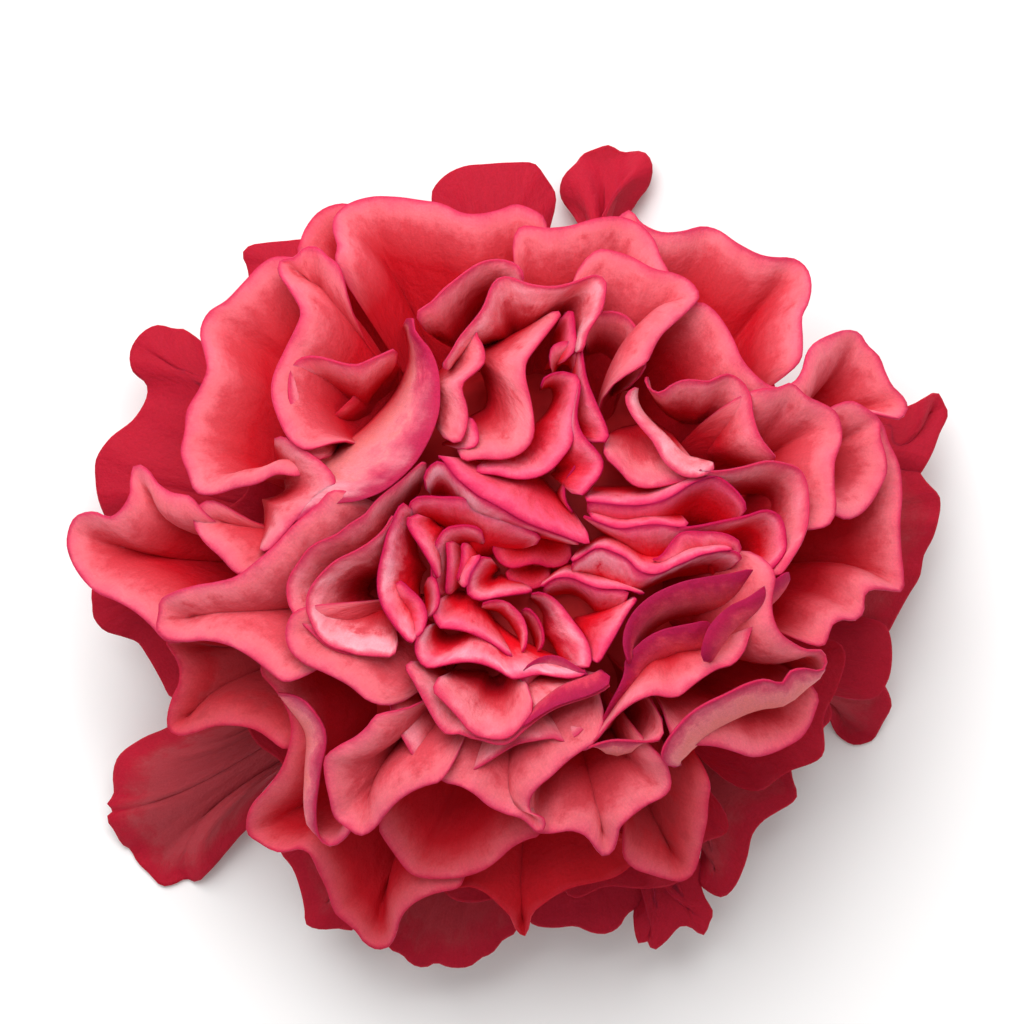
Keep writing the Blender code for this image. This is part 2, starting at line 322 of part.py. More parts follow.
        (28, 4.8), (31, 5), (34, 5.8), (35.6, 5), (36.3, 2.5), (36.2, 0.6), (34.5, -1.6), (32, -4),
        (30.5, -5.5), (29, -6.8, -1))),
    ("heart_upper_lip", "heart", dict(lift=(0,)), (
        (8.5, 6, -1), (9.5, 7.2), (12, 7.7), (15, 8), (17, 7.9), (19.5, 8.4), (22, 9.3), (24.5, 10.1),
        (26.5, 10.5), (28.2, 10.2), (30, 8.2), (31.3, 6), (32, 5, -1))),
    ("heart_ridge", "heart", {}, (
        (4, -4, -1), (5.2, -2.9), (6.7, -1.6), (8.5, -1.8), (10.5, -2.4), (12.5, -3.1), (14.8, -2.8),
        (16.3, -3.4), (17.9, -4.9), (19, -5.5, -1))),
    ("heart_side", "heart", {}, (
        (17.5, -4.6, -1), (16.3, -5.8), (15, -7.5), (14, -9.2), (13, -11), (11.8, -13),
        (10.5, -15, -1))),
    ("heart_dark", "heart", dict(lip=(125,), reach=(0.35, 0.45)), (
        (32, -1.5, -1), (29, -2.5), (25, -2.8), (22, -3.6), (19.5, -4.8), (17.5, -5.9), (15.8, -7.7),
        (14.9, -9.8), (14.9, -11.6), (15.2, -13.3), (13.5, -15, -1))),
    ("heart_dark_low", "heart", dict(lift=(-1,)), (
        (25.5, -8.5, -1), (24.8, -10.5), (23, -12.5), (20.5, -13.9), (18, -15.2), (16, -16.6),
        (14, -18.3), (12.8, -20.3), (11.8, -22.3), (11.1, -24), (9, -25.5, -1))),
)


def under_petals():
    """The petals that the bloom hides, between the guard petals and the core, by a rule round the stem."""
    made = []
    for k in range(UNDER_PETALS):
        middle = math.tau * (k + 0.3) / UNDER_PETALS
        rim = []
        for step in range(UNDER_POINTS):
            part = 2 * step / (UNDER_POINTS - 1) - 1
            turn = middle + part * UNDER_SPREAD / 2
            radius = UNDER_RADIUS * (1 - 0.1 * part**2) + UNDER_WAVE * math.sin(2.3 * step + 1.7 * k)
            high = UNDER_WAVE * math.cos(2 * step + k)
            rim.append((STEM[0] + radius * math.cos(turn), STEM[1] + radius * math.sin(turn), high))
        made.append((f"under_{k}", "under", {}, tuple(rim)))
    return tuple(made)


def radius_part(x, y):
    """How far out a point is, from 0 at the heart to 1 at the outline, by circles that shift between them."""
    qx, qy = x - HEART[0], y - HEART[1]
    across = qx * HEART[0] + qy * HEART[1]
    scale = BLOOM_RADIUS**2 - HEART[0] ** 2 - HEART[1] ** 2
    return (across + np.sqrt(across**2 + scale * (qx**2 + qy**2))) / scale


def curve_through(points, count):
    """Evenly spaced samples of a smooth curve through the points."""
    points = np.asarray(points, float)
    steps = np.sqrt(np.linalg.norm(np.diff(points[:, :2], axis=0), axis=1))
    knots = np.concatenate([[0.0], np.cumsum(steps)])
    slopes = np.gradient(points, knots, axis=0)
    dense = np.linspace(0.0, knots[-1], 40 * len(points))
    at = np.clip(np.searchsorted(knots, dense, side="right") - 1, 0, len(points) - 2)
    span = (knots[at + 1] - knots[at])[:, None]
    t = (dense - knots[at])[:, None] / span
    curve = ((1 + 2 * t) * (1 - t) ** 2 * points[at] + t * (1 - t) ** 2 * span * slopes[at]
             + t * t * (3 - 2 * t) * points[at + 1] + t * t * (t - 1) * span * slopes[at + 1])
    length = np.concatenate([[0.0], np.cumsum(np.linalg.norm(np.diff(curve[:, :2], axis=0), axis=1))])
    wanted = np.linspace(0.0, length[-1], count)
    return np.stack([np.interp(wanted, length, curve[:, k]) for k in range(3)], axis=1)


def smoothed(curve, width):
    """The curve with its waves taken out over a part of its length."""
    at = np.linspace(0.0, 1.0, len(curve))
    weights = np.exp(-0.5 * ((at[:, None] - at[None, :]) / width) ** 2)
    return weights @ curve / weights.sum(axis=1, keepdims=True)


def spread(values, count):
    return np.interp(np.linspace(0, 1, count), np.linspace(0, 1, len(values)), values)


def petal_sheet(whorl, own, rim, columns, rows):
    """The petal's middle surface: (columns + 1) x (rows + 1) points from its foot to its rim."""
    grow = {**WHORLS[whorl], **own}
    points = [(p[0], p[1], p[2] if len(p) > 2 else 0.0) for p in rim]
    fine = curve_through(points, SAMPLES)
    part = radius_part(fine[:, 0], fine[:, 1])
    fine[:, 2] += np.minimum(np.interp(part, DOME_AT, DOME_Z) + spread(grow["lift"], SAMPLES),
                             spread(grow["most"], SAMPLES))
    soft, base = smoothed(fine, SMOOTH_RIM), smoothed(fine, SMOOTH_FOOT)
    along = np.gradient(soft[:, :2], axis=0)
    side = np.stack([along[:, 1], -along[:, 0]], axis=1)
    side /= np.linalg.norm(side, axis=1, keepdims=True) + 1e-9
    foot = np.array(STEM) + grow["foot"] * (base[:, :2] - STEM)
    if ((fine[:, :2] - foot) * side).sum() < 0:
        side = -side
    p3 = fine
    low = grow.get("foot_z", np.interp(part.mean(), FOOT_AT, FOOT_Z))
    p0 = np.column_stack([foot, np.full(len(fine), low)])
    long = np.linalg.norm(p3 - p0, axis=1)[:, None]
    out = base[:, :2] - foot
    out = out / (np.linalg.norm(out, axis=1, keepdims=True) + 1.0)
    slope = math.radians(grow.get("slope", np.interp(part.mean(), FOOT_AT, FOOT_SLOPE)))
    rise = np.full(len(fine), math.sin(slope))
    p1 = p0 + grow["reach"][0] * long * np.column_stack([out * math.cos(slope), rise])
    lip = np.radians(spread(grow["lip"], len(fine)))[:, None]
    back = grow["reach"][1] * long
    p2 = 0.5 * (fine + soft) - back * np.hstack([side * np.cos(lip), np.sin(lip)])
    pick = np.linspace(0, len(fine) - 1, columns + 1).round().astype(int)
    length = np.linalg.norm(np.diff(fine[:, :2], axis=0), axis=1).sum()
    end = np.clip(np.minimum(pick, len(fine) - 1 - pick) / (len(fine) - 1) * length / FLANK, 0.0, 1.0)
    top = FLANK_PART + (1 - FLANK_PART) * np.sqrt(1 - (1 - end) ** 2)
    t = (top[:, None] * np.linspace(0.0, 1.0, rows + 1)[None, :])[:, :, None]
    p0, p1, p2, p3 = (p[pick][:, None, :] for p in (p0, p1, p2, p3))
    sheet = (1 - t) ** 3 * p0 + 3 * t * (1 - t) ** 2 * p1 + 3 * t * t * (1 - t) * p2 + t**3 * p3
    sheet[:, :, 2] = np.maximum(sheet[:, :, 2], PETAL_THICKNESS / 2)
    return sheet


def material(name, colour, roughness):
    made = bpy.data.materials.new(name)
    made.use_nodes = True
    shader = made.node_tree.nodes["Principled BSDF"]
    shader.inputs["Base Color"].default_value = (*colour, 1.0)
    shader.inputs["Roughness"].default_value = roughness
    made.diffuse_color = (*colour, 1.0)
    return made


def object_of(bm, name, finish):
    """A new object at the origin that holds the bmesh, whose points are in millimetres."""
    bmesh.ops.scale(bm, vec=(MM, MM, MM), verts=bm.verts)
    mesh = bpy.data.meshes.new(name)
    bm.to_mesh(mesh)
    bm.free()
    mesh.materials.append(finish)
    made = bpy.data.objects.new(name, mesh)
    bpy.context.scene.collection.objects.link(made)
    return made


def turned(profile, centre):
    """A closed solid turned about the vertical through the centre, from (radius, height) pairs."""
    bm = bmesh.new()
    points = [bm.verts.new((centre[0] + r, centre[1], z)) for r, z in profile]
    edges = [bm.edges.new(pair) for pair in zip(points, points[1:])]
    bmesh.ops.spin(bm, geom=points + edges, cent=(*centre, 0), axis=(0, 0, 1), angle=math.tau,
                   steps=TURNED_STEPS, use_merge=True)
    bmesh.ops.remove_doubles(bm, verts=bm.verts, dist=MERGE)
    bmesh.ops.recalc_face_normals(bm, faces=bm.faces)
    return bm


def petal(name, whorl, own, rim, finish):
    """One petal as a thin closed solid, split into triangles alike on both faces."""
    length = sum(math.dist(a[:2], b[:2]) for a, b in zip(rim, rim[1:]))
    few, most = COLUMNS[whorl]
    columns = max(few, min(most, round(length / COLUMN_WIDTH)))
    rows = ROWS[whorl]
    sheet = petal_sheet(whorl, own, rim, columns, rows)
    bm = bmesh.new()
    bmesh.ops.create_grid(bm, x_segments=columns, y_segments=rows, size=1.0)
    for vert in bm.verts:
        vert.co = sheet[round((vert.co.x + 1) / 2 * columns), round((vert.co.y + 1) / 2 * rows)]
    bmesh.ops.triangulate(bm, faces=bm.faces, quad_method="FIXED")
    made = object_of(bm, name, finish)
    thick = made.modifiers.new("Solidify", "SOLIDIFY")
    thick.thickness = PETAL_THICKNESS * MM
    thick.offset = 0.0
    return made


def evaluated_mesh(made):
    graph = bpy.context.evaluated_depsgraph_get()
    return bpy.data.meshes.new_from_object(made.evaluated_get(graph))


def fused(base, pieces, solver):
    """Joins the pieces to the base by one Boolean union, and removes them."""
    group = bpy.data.collections.new(base.name + "_pieces")
    bpy.context.scene.collection.children.link(group)
    for piece in pieces:
        group.objects.link(piece)
        bpy.context.scene.collection.objects.unlink(piece)
    join = base.modifiers.new("Union", "BOOLEAN")
    join.operation = "UNION"
    join.operand_type = "COLLECTION"
    join.collection = group
    join.solver = solver
    mesh = evaluated_mesh(base)
    base.modifiers.clear()
    base.data = mesh
    mesh.name = base.name
    for piece in pieces:
        bpy.data.objects.remove(piece)
    bpy.data.collections.remove(group)
    outer_skin(mesh)
    return base


def outer_skin(mesh):
    """Keeps the largest skin of the mesh: a hollow that fusing sealed is filled, and a loose scrap goes."""
    bm = bmesh.new()
    bm.from_mesh(mesh)
    bmesh.ops.triangulate(bm, faces=bm.faces)
    bmesh.ops.dissolve_degenerate(bm, edges=bm.edges, dist=SLIVER * MM)
    left = set(bm.faces)
    skins = []
    while left:
        skin, edge = set(), {left.pop()}
        while edge:
            skin |= edge
            lines = {line for face in edge for line in face.edges if len(line.link_faces) == 2}
            edge = {near for line in lines for near in line.link_faces} & left
            left -= edge
        volume = sum(f.verts[0].co.dot(f.verts[1].co.cross(f.verts[2].co)) for f in skin)
        skins.append((volume, skin))
    skins.sort(key=lambda pair: pair[0])
    loose = [face for _, skin in skins[:-1] for face in skin]
    bmesh.ops.delete(bm, geom=loose, context="FACES")
    bm.to_mesh(mesh)
    bm.free()


def sepal(turn, finish):
    """One sepal, reflexed: it arches out from the hip and down, keeled along its ridge."""
    across, along = 2, len(RIDGE) - 1
    bm = bmesh.new()
    bmesh.ops.create_grid(bm, x_segments=across, y_segments=along, size=1.0)
    for vert in bm.verts:
        side, step = vert.co.x, round((vert.co.y + 1) / 2 * along)
        wide = side * SEPAL_WIDTH / 2 * SEPAL_TAPER[step]
        vert.co = (RIDGE[step][0], wide, RIDGE[step][1] + KEEL * abs(side) * SEPAL_TAPER[step])
    bmesh.ops.triangulate(bm, faces=bm.faces, quad_method="FIXED")
    bmesh.ops.rotate(bm, verts=bm.verts, cent=(0, 0, 0), matrix=Matrix.Rotation(turn, 3, "Z"))
    bmesh.ops.translate(bm, vec=(*STEM, 0), verts=bm.verts)
    made = object_of(bm, "sepal", finish)
    thick = made.modifiers.new("Solidify", "SOLIDIFY")
    thick.thickness = SEPAL_THICKNESS * MM
    thick.offset = 0.0
    return made


def calyx_node(finish):
    base = object_of(turned(HIP, STEM), "calyx", finish)
    return fused(base, [sepal(math.tau * (k + 0.25) / SEPALS, finish) for k in range(SEPALS)], "EXACT")


def petals_node(name, whorls, core, finish, solver="EXACT"):
    base = object_of(turned(core, STEM), name, finish)
    grown = [entry for entry in PETALS + under_petals() if entry[1] in whorls]
    pieces = [petal(label, whorl, own, rim, finish) for label, whorl, own, rim in grown]
    return fused(base, pieces, solver)


def main():
    for old in list(bpy.data.objects):
        bpy.data.objects.remove(old)
    salmon = material("salmon_petal", (0.83, 0.25, 0.25), 0.5)
    crimson = material("crimson_petal", (0.45, 0.02, 0.06), 0.5)
    petals_node("petals", ("outer", "inner", "heart"), CORE, salmon, "MANIFOLD")
    petals_node("guard_petals", ("guard", "under"), GUARD_CORE, crimson, "MANIFOLD")
    calyx_node(material("green_calyx", (0.1, 0.16, 0.04), 0.6))


if __name__ == "__main__":
    main()
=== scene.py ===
"""Rose bloom: a Blender add-on that grows the ruffled petals, the calyx and the studio round the bloom's solids.

Lengths in the tables are millimetres, and the scene is in metres with +Z up.
"""

import math

import bmesh
import bpy
import numpy as np
from bpy.props import FloatProperty, FloatVectorProperty, IntProperty, PointerProperty
from mathutils import Matrix, Vector


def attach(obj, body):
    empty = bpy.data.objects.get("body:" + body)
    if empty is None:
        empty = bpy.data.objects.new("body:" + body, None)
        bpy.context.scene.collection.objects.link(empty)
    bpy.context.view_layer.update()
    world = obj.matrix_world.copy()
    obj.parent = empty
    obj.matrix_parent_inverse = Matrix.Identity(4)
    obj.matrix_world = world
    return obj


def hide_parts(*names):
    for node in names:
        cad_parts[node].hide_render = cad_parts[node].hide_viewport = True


bl_info = {
    "name": "Rose Bloom",
    "version": (1, 0, 0),
    "blender": (4, 5, 0),
    "location": "View3D > Sidebar > Rose",
    "description": "Grows a very double, ruffled rose bloom with its calyx, and a plain studio round it",
    "category": "Add Mesh",
}

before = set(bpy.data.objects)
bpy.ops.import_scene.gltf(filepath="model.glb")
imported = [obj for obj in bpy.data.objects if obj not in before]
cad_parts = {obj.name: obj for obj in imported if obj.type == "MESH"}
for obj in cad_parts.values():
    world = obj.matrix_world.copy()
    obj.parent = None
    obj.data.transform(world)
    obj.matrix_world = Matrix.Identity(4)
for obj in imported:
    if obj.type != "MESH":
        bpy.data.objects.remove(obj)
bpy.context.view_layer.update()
MM = 0.001
BODY = "root"

# Where the bloom's parts stand, as its solids have them.
BLOOM_RADIUS = 58.0
HEART = (6.0, -6.0)
STEM = (4.0, -4.0)
# The bloom's height over the part of its radius, from the heart (0) to the outline (1).
DOME_AT = (0.0, 0.1, 0.2, 0.35, 0.5, 0.6, 0.7, 0.8, 0.9, 1.0, 1.1, 1.2)
DOME_Z = (49.0, 51.0, 53.0, 53.0, 50.0, 47.0, 42.5, 37.0, 30.5, 23.5, 17.0, 11.0)
# The core that the petals grow from and the disc of the guard petals: radius and height up the profile.
CORE = ((0.0, 17.6), (8.0, 17.6), (18.0, 19.8), (27.0, 24.0), (30.0, 28.0), (28.0, 33.0), (22.0, 38.0),
        (14.0, 42.0), (8.0, 43.5), (0.0, 44.0))
GUARD_CORE = ((0.0, 12.6), (8.0, 12.6), (15.0, 13.4), (19.5, 15.0), (19.5, 16.0), (8.0, 17.0), (0.0, 17.0))
# The hip on its stub of stem, and a sepal's ridge from the hip to its tip.
HIP = ((0.0, 0.0), (2.2, 0.0), (2.5, 0.3), (2.6, 4.0), (2.9, 4.8), (4.0, 5.6), (5.3, 6.6), (6.1, 7.8), (6.6, 9.2),
       (6.5, 10.4), (6.0, 11.4), (4.6, 12.2), (0.0, 12.2))
RIDGE = ((3.5, 10.0), (9.0, 10.6), (15.0, 10.2), (21.0, 8.4), (26.0, 5.4), (29.0, 2.0))
SEPAL_TAPER = (0.6, 0.9, 1.0, 0.8, 0.45, 0.06)
SEPAL_WIDTH, SEPAL_THICKNESS, SEPALS, KEEL = 7.5, 0.8, 5, 1.1
# Samples along a rim, and the parts of its length that its waves are smoothed over, near it and at its foot.
SAMPLES = 481
SMOOTH_RIM, SMOOTH_FOOT = 0.07, 0.1
# How each whorl grows. foot is the part of the way out to the rim that its foot is at, foot_z the foot's
# height and slope its slope there. lip is the slope at the rim, over 90 where the rim leans in, and
# reach the length of the sheet's two handles as parts of the petal's length. belly is how far the sheet
# stands out past its rim. flank is how much of its rim a petal's side edges run down over, and to what part
# of its height. lift is the rim's height over the dome, and most the greatest height it can
# have. curl is how far the last millimetres turn down, and ruffle the height of the fine waves there.
# tone goes from salmon (0) to dull crimson (1). How pale the lip is stands partly for the petal's own paler
# edge and partly for a painted highlight, and edge is how wide its magenta edge. The colour also deepens by the
# length below the rim, as painted shade in the hollows. Tuples run along the rim, and slopes are in degrees.
SHAPE = dict(lip=(0,), reach=(0.35, 0.3), flank=(6.0, 0.35), outer=False, belly=(0,), lift=(0,), most=(60,), curl=(0.1,),
             ruffle=0.3, shade_below=0.1, tone=(0,), pale_and_highlight=(0.15,), edge=(0.6,))
WHORLS = {
    "guard": dict(foot=0.3, foot_z=15.5, slope=0.0, most=(12,), lip=(-20,), lift=(-12,)),
    "under": dict(foot=0.35, foot_z=16.1, slope=5.0, most=(20,), lip=(-10,), lift=(-12,)),
    "outer": dict(foot=0.3, lip=(-5,)),
    "fold": dict(curl=(0.0,), ruffle=0.15, shade_below=0.5, pale_and_highlight=(0.4,), edge=(0.8,), flank=(3.0, 0.0)),
    "heart": dict(curl=(0.0,), ruffle=0.1, shade_below=1.3, pale_and_highlight=(0.4,), edge=(0.8,), flank=(2.5, 0.0)),
}
# The height of a petal's foot and its slope there, over the part of the bloom's radius that its rim is at.
FOOT_AT = (0.0, 0.45, 0.6, 0.75, 0.9, 1.05)
FOOT_Z = (36.0, 34.0, 30.0, 26.0, 23.0, 21.0)
FOOT_SLOPE = (85.0, 70.0, 50.0, 25.0, 10.0, 0.0)
# The hidden petals between the guards and the core: how many, their radius, the angle each spans, the
# points of its rim and the height of the rim's waves.
UNDER_PETALS, UNDER_RADIUS, UNDER_SPREAD = 9, 43.0, math.radians(44)
UNDER_POINTS, UNDER_WAVE = 8, 1.3

# Every petal: its name, its whorl, what differs from its whorl, and its rim as seen from above. A rim
# point is x, y and, where a petal tucks under its neighbour, millimetres up or down. A folded petal falls
# from its rim towards the place into, by wide sideways and drop down, and shows its back where outer is set.
PETALS = (
    ("guard_top_left", "guard", {}, (
        (-36, 30, -4), (-35.2, 34), (-34.8, 37), (-35.2, 39), (-35.7, 40.3), (-34.9, 41.3), (-33, 41.7),
        (-29.7, 42), (-27.6, 42.2), (-24, 41.5), (-20, 40, -3))),
    ("guard_left", "guard", {}, (
        (-38, 32, -4), (-41.2, 29), (-43.7, 30.2), (-44.9, 30.2), (-47.2, 30.7), (-49.4, 29.5),
        (-50.8, 27), (-50.4, 24.6), (-48.6, 23), (-48.5, 21.2), (-50.3, 18.1), (-53.5, 15.5),
        (-55.3, 12.8), (-55.4, 10), (-54.9, 7), (-53, 3, -2), (-50, -1, -5))),
    ("guard_top", "guard", {}, (
        (-14, 43, -4), (-10.5, 46.5), (-10.2, 48.8), (-8.5, 50.8), (-6, 52), (-3, 52.3), (0, 52.5),
        (3.5, 52.3), (4.6, 50.9), (5.9, 49), (7, 47.5), (9, 44, -4))),
    ("guard_top_right", "guard", dict(most=(3,), lip=(-35,)), (
        (7, 42, 1), (7.7, 46.5), (7, 48.8), (7.4, 50.8), (9, 52.6, -1), (10, 54, -3), (12, 54.9, -4),
        (13.5, 55.3, -4), (15.4, 54.3, -3), (18.3, 54.1, -1), (19.2, 52.5), (18.7, 49.7), (17.2, 47.7),
        (16, 45), (17, 41, -3))),
    ("guard_right", "guard", {}, (
        (48, 25, -5), (53.1, 19.8, -2), (55.5, 20.9), (57.4, 21.8), (58.5, 20.2), (59, 18.8),
        (57.8, 16.2), (56.7, 13.5), (55.1, 10.8), (52, 6, -4))),
    ("guard_far_left", "guard", {}, (
        (-52, 0, -5), (-55.8, -4.4), (-55.8, -7), (-55.7, -8.3), (-54.3, -10.1), (-51.5, -11),
        (-49.8, -11.7), (-48.5, -13.5), (-46.5, -17), (-45.1, -19.8), (-42, -23, -4))),
    ("guard_lower_left", "guard", dict(most=(10, 6, 2, 2, 6), lip=(-35,), tone=(0.6,)), (
        (-38, -19, -2), (-44, -22.3), (-46.3, -23.6), (-49.5, -25), (-52.5, -27.3), (-53.2, -29.5),
        (-53.2, -32.5), (-54.1, -33.8), (-53.1, -34.4), (-54.2, -35.5), (-53.3, -37), (-52.2, -39, -1),
        (-51.2, -39.7, -2), (-50.3, -41.5, -3), (-48.5, -43.3, -4), (-47, -44.8, -4), (-45.5, -44.7, -3),
        (-43.5, -43.8, -2), (-42, -44.1, -1), (-40.8, -43), (-38, -39.8), (-36, -37.5), (-34.5, -36.5),
        (-31, -34, -3))),
    ("guard_bottom_left", "guard", dict(tone=(0.4,)), (
        (-33, -35, -4), (-30.8, -39.7), (-29, -42), (-27.9, -45), (-27.3, -48), (-27.2, -49.5),
        (-25.5, -50.2), (-22.8, -50.1), (-20.5, -50.5), (-16, -49, -3))),
    ("guard_bottom", "guard", dict(tone=(0.5, 0.2)), (
        (-19, -48, -4), (-16.2, -52.7), (-14.3, -53.6), (-13, -54.9), (-11.3, -55.3), (-9.8, -54.7),
        (-8, -55.3), (-5.4, -55.2), (-3.7, -54), (-2.3, -53.4), (-0.8, -51.6), (1, -50.8),
        (5, -48, -3))),
    ("guard_bottom_right", "guard", {}, (
        (-1, -46, -4), (3, -49.5), (5.8, -50), (9, -49.8), (11, -50.6), (13, -50.8), (14.8, -49.8),
        (15.7, -48.3), (16.5, -47.7), (19, -46.2), (21, -45), (23, -43.7), (27, -40, -3))),
    ("guard_jagged", "guard", dict(foot_z=15.2), (
        (14, -44, -4), (16.5, -48), (17, -51), (17.6, -52.3), (18.4, -51.6), (19.4, -53), (20.8, -52),
        (23, -49.8), (24.4, -49.9), (26.1, -51), (26.8, -49.4), (27.3, -48), (26.2, -46), (25.7, -44.3),
        (26, -41), (28, -37, -3))),
    ("guard_low_right", "guard", dict(tone=(0.4,)), (
        (23.5, -39, -3), (25.5, -44), (26.8, -45.2), (28.6, -45.9), (30.1, -44.7), (31.4, -42),
        (31.9, -40.5), (32.6, -37.5), (34, -35.7), (36, -34.4), (38, -33.2), (38.6, -32.3), (38, -30.3),
        (37.8, -28), (38.6, -25), (40.2, -22.5), (43, -19, -2))),
    ("guard_right_long", "guard", dict(most=(1, 1, 4, 8, 11, 12, 12, 12), lip=(-35, -20), tone=(0.4,)), (
        (40, -21, 3), (42.4, -22.9, 1), (44, -24.2, -1), (45.8, -25.5, -3), (46.8, -25.8, -3),
        (48, -25.6, -3), (49.2, -25, -2), (50.4, -22.6), (51.5, -20.3), (51.2, -19), (50.5, -17.7),
        (48.7, -16), (48.3, -14.5), (48.8, -12.8), (50.9, -10.4), (52, -8.3), (53.8, -5), (55, -3),
        (55.6, 0), (56.8, 2.3), (57.6, 5), (57.8, 6.5), (57.6, 8), (56, 9.6), (54, 12.5), (51.5, 15.7),
        (48, 18, -3))),
    ("guard_sliver", "guard", dict(foot_z=15.8), (
        (48, -5, -3), (50.9, -10.4), (51.3, -13.5), (50.9, -16.5), (49.5, -19), (46, -23, -3))),
    ("guard_strip", "guard", dict(foot_z=15.2), (
        (46, -18, -3), (43.5, -22), (42.4, -22.9), (41, -24.8), (39.3, -26.7), (38.2, -28.6),
        (36, -33, -3))),
    ("top_left_small", "outer", dict(lift=(-3,)), (
        (-31, 36, -3), (-28, 41), (-27.2, 43.2), (-25.6, 45.4), (-23.6, 46.5), (-21, 46.7),
        (-16, 45, -2))),
    ("top_wide", "outer", {}, (
        (-26, 35, -3), (-23.1, 39.6), (-22.7, 41), (-23.3, 43), (-23.2, 44.8), (-21.5, 46.5),
        (-18.5, 47.5), (-15, 47.5), (-11.5, 47), (-8.8, 46.5), (-6.3, 45.3), (-4, 45.1), (-1.2, 45.7),
        (1, 46.4), (3.7, 45.4), (9, 42, -3))),
    ("top_right_large", "outer", dict(foot=0.55, foot_z=33.0, slope=0.0), (
        (9, 40, -3), (13.5, 43.7, -1), (16, 45.7), (17.2, 44.2), (20, 42.8), (23, 42.9), (25.8, 43.6),
        (27.8, 43.1), (30.3, 41.4), (33.3, 39.9), (35.5, 39.5), (38, 39.4), (39.7, 38), (40.2, 35.8),
        (39.8, 33.6), (38.9, 31.8), (38.9, 28.5), (38.8, 26), (38, 21, -4))),
    ("top_centre", "outer", dict(lift=(1,)), (
        (-3, 40, -3), (1.5, 43.4), (5, 43.2), (8, 43.5), (12, 44.6), (15, 44.7), (17.5, 43.6),
        (19.3, 41.5), (20.2, 39), (21.5, 37), (24, 33, -3))),
    ("left_large", "outer", dict(foot=0.5, foot_z=31.0, slope=10.0), (
        (-22, 38, -4), (-27.5, 39.3, -1), (-31.2, 39.5), (-33, 38.5), (-35, 36.4), (-37.5, 33.8),
        (-40, 32.1), (-41, 29.5), (-40.3, 26.8), (-40, 24.5), (-41, 22), (-42.6, 19.2), (-42.9, 16.3),
        (-43.4, 13.6), (-42.5, 11), (-41.3, 8.3), (-38.8, 8), (-36, 8.8), (-33, 9.4), (-30.5, 10.6),
        (-27, 10, -2), (-23, 9, -4))),
    ("left_tuck", "outer", dict(lift=(-1,)), (
        (-35, 9, -2), (-39.5, 7.6), (-41.5, 5.8), (-41.6, 4), (-40.3, 1.8), (-38, -0.3), (-36, -2.4),
        (-31, -5, -3))),
    ("far_left", "outer", {}, (
        (-37, 8, -3), (-41.5, 8), (-44.5, 8.3), (-46.5, 9.5), (-47.9, 11.3), (-49.6, 12), (-50.2, 10.5),
        (-50.3, 8.2), (-51.5, 6.1), (-53.2, 5), (-55.5, 5.7), (-57.9, 5), (-59, 2), (-58.5, -0.5),
        (-57, -3), (-55, -4.9), (-52, -6.2), (-49.5, -7.6), (-47.3, -9.5), (-45.7, -11.2),
        (-40, -14, -3))),
    ("left_trough", "outer", dict(lift=(3,)), (
        (-20, 12, -1), (-22.9, 9.5), (-25, 6.8), (-28.5, 3.8), (-30.5, 1.6), (-33.5, -1), (-36, -2.8),
        (-38.5, -3.5), (-41.5, -4), (-44.3, -4.9), (-46.1, -6), (-46.3, -7.6), (-46.6, -9.8),
        (-45.5, -11), (-43, -11.4), (-40, -11.2), (-37, -11.8), (-34.5, -13), (-32, -14.8),
        (-29.5, -16.8), (-25, -19, -2))),
    ("lower_left_dull", "outer", dict(lift=(-5,), tone=(0.5,)), (
        (-40, -8, -4), (-45.6, -11.3), (-44.5, -13.2), (-43.7, -15.2), (-43.9, -17.2), (-44.9, -19.3),
        (-45.5, -22), (-45.3, -23.3), (-44, -24), (-41.5, -23.5), (-39, -22.7), (-36, -22.6),
        (-33.5, -23.1), (-31.5, -24.4), (-29.8, -25.7), (-25, -28, -3))),
    ("lower_left_long", "outer", dict(lift=(-4,)), (
        (-37, -13, -2), (-34, -15), (-31.5, -17), (-29.6, -19.7), (-28.8, -22), (-29, -25),
        (-30.3, -28.5), (-32.2, -31), (-34.2, -33.3), (-34.8, -35), (-34.8, -37), (-33.3, -38.2),
        (-31, -39.4), (-29.5, -39.3), (-28, -38.9), (-26.5, -39.6), (-25.3, -42), (-24.2, -44.5),
        (-23.6, -46.5), (-23.1, -47.8), (-21.8, -48.9), (-20.4, -50.2), (-19.3, -51.7), (-17.8, -52.6),
        (-16.3, -52.4), (-15.2, -50.7), (-14.7, -48.8), (-13.5, -47), (-11.5, -45.5), (-9, -44.6),
        (-6, -44), (-2, -42, -3))),
    ("lower_left_fold", "outer", dict(lift=(-1,), belly=(3, 3, 2, 0)), (
        (-30, -15, -1), (-27, -18.5), (-25, -21), (-24, -23), (-23.9, -25), (-24.5, -27.5), (-24.9, -30),
        (-25.3, -33), (-25.2, -36), (-24.6, -37.7), (-23.5, -38.4), (-22.3, -37.8), (-21, -36.7),
        (-17, -34, -2))),
    ("lower_left_bright", "outer", dict(lift=(3,)), (
        (-15, -17, 0), (-17.7, -20.3), (-18.2, -21.8), (-20, -23.6), (-22.5, -25), (-24.2, -26.6),
        (-24.2, -29), (-23.6, -32), (-23, -34.4), (-21.3, -35.9), (-19.5, -36.9), (-17.8, -36),
        (-16.2, -34), (-14, -31.8), (-11, -30.2), (-8.5, -29.7), (-4, -29, -3))),
    ("lower_left_wave", "outer", dict(lift=(3,)), (
        (-26, -3, -1), (-28.5, -7.5), (-29.3, -10), (-28.8, -12.3), (-27, -14.1), (-25, -15),
        (-23, -15.9), (-21, -17), (-19.3, -18.4), (-18.2, -20), (-17.9, -21.3), (-16, -23, -2))),
    ("bottom_salmon", "outer", dict(lift=(1,)), (
        (-13, -26, -3), (-8.8, -29.6), (-6.5, -30.2), (-4.5, -31.3), (-2.8, -32.8), (-0.5, -33.9),
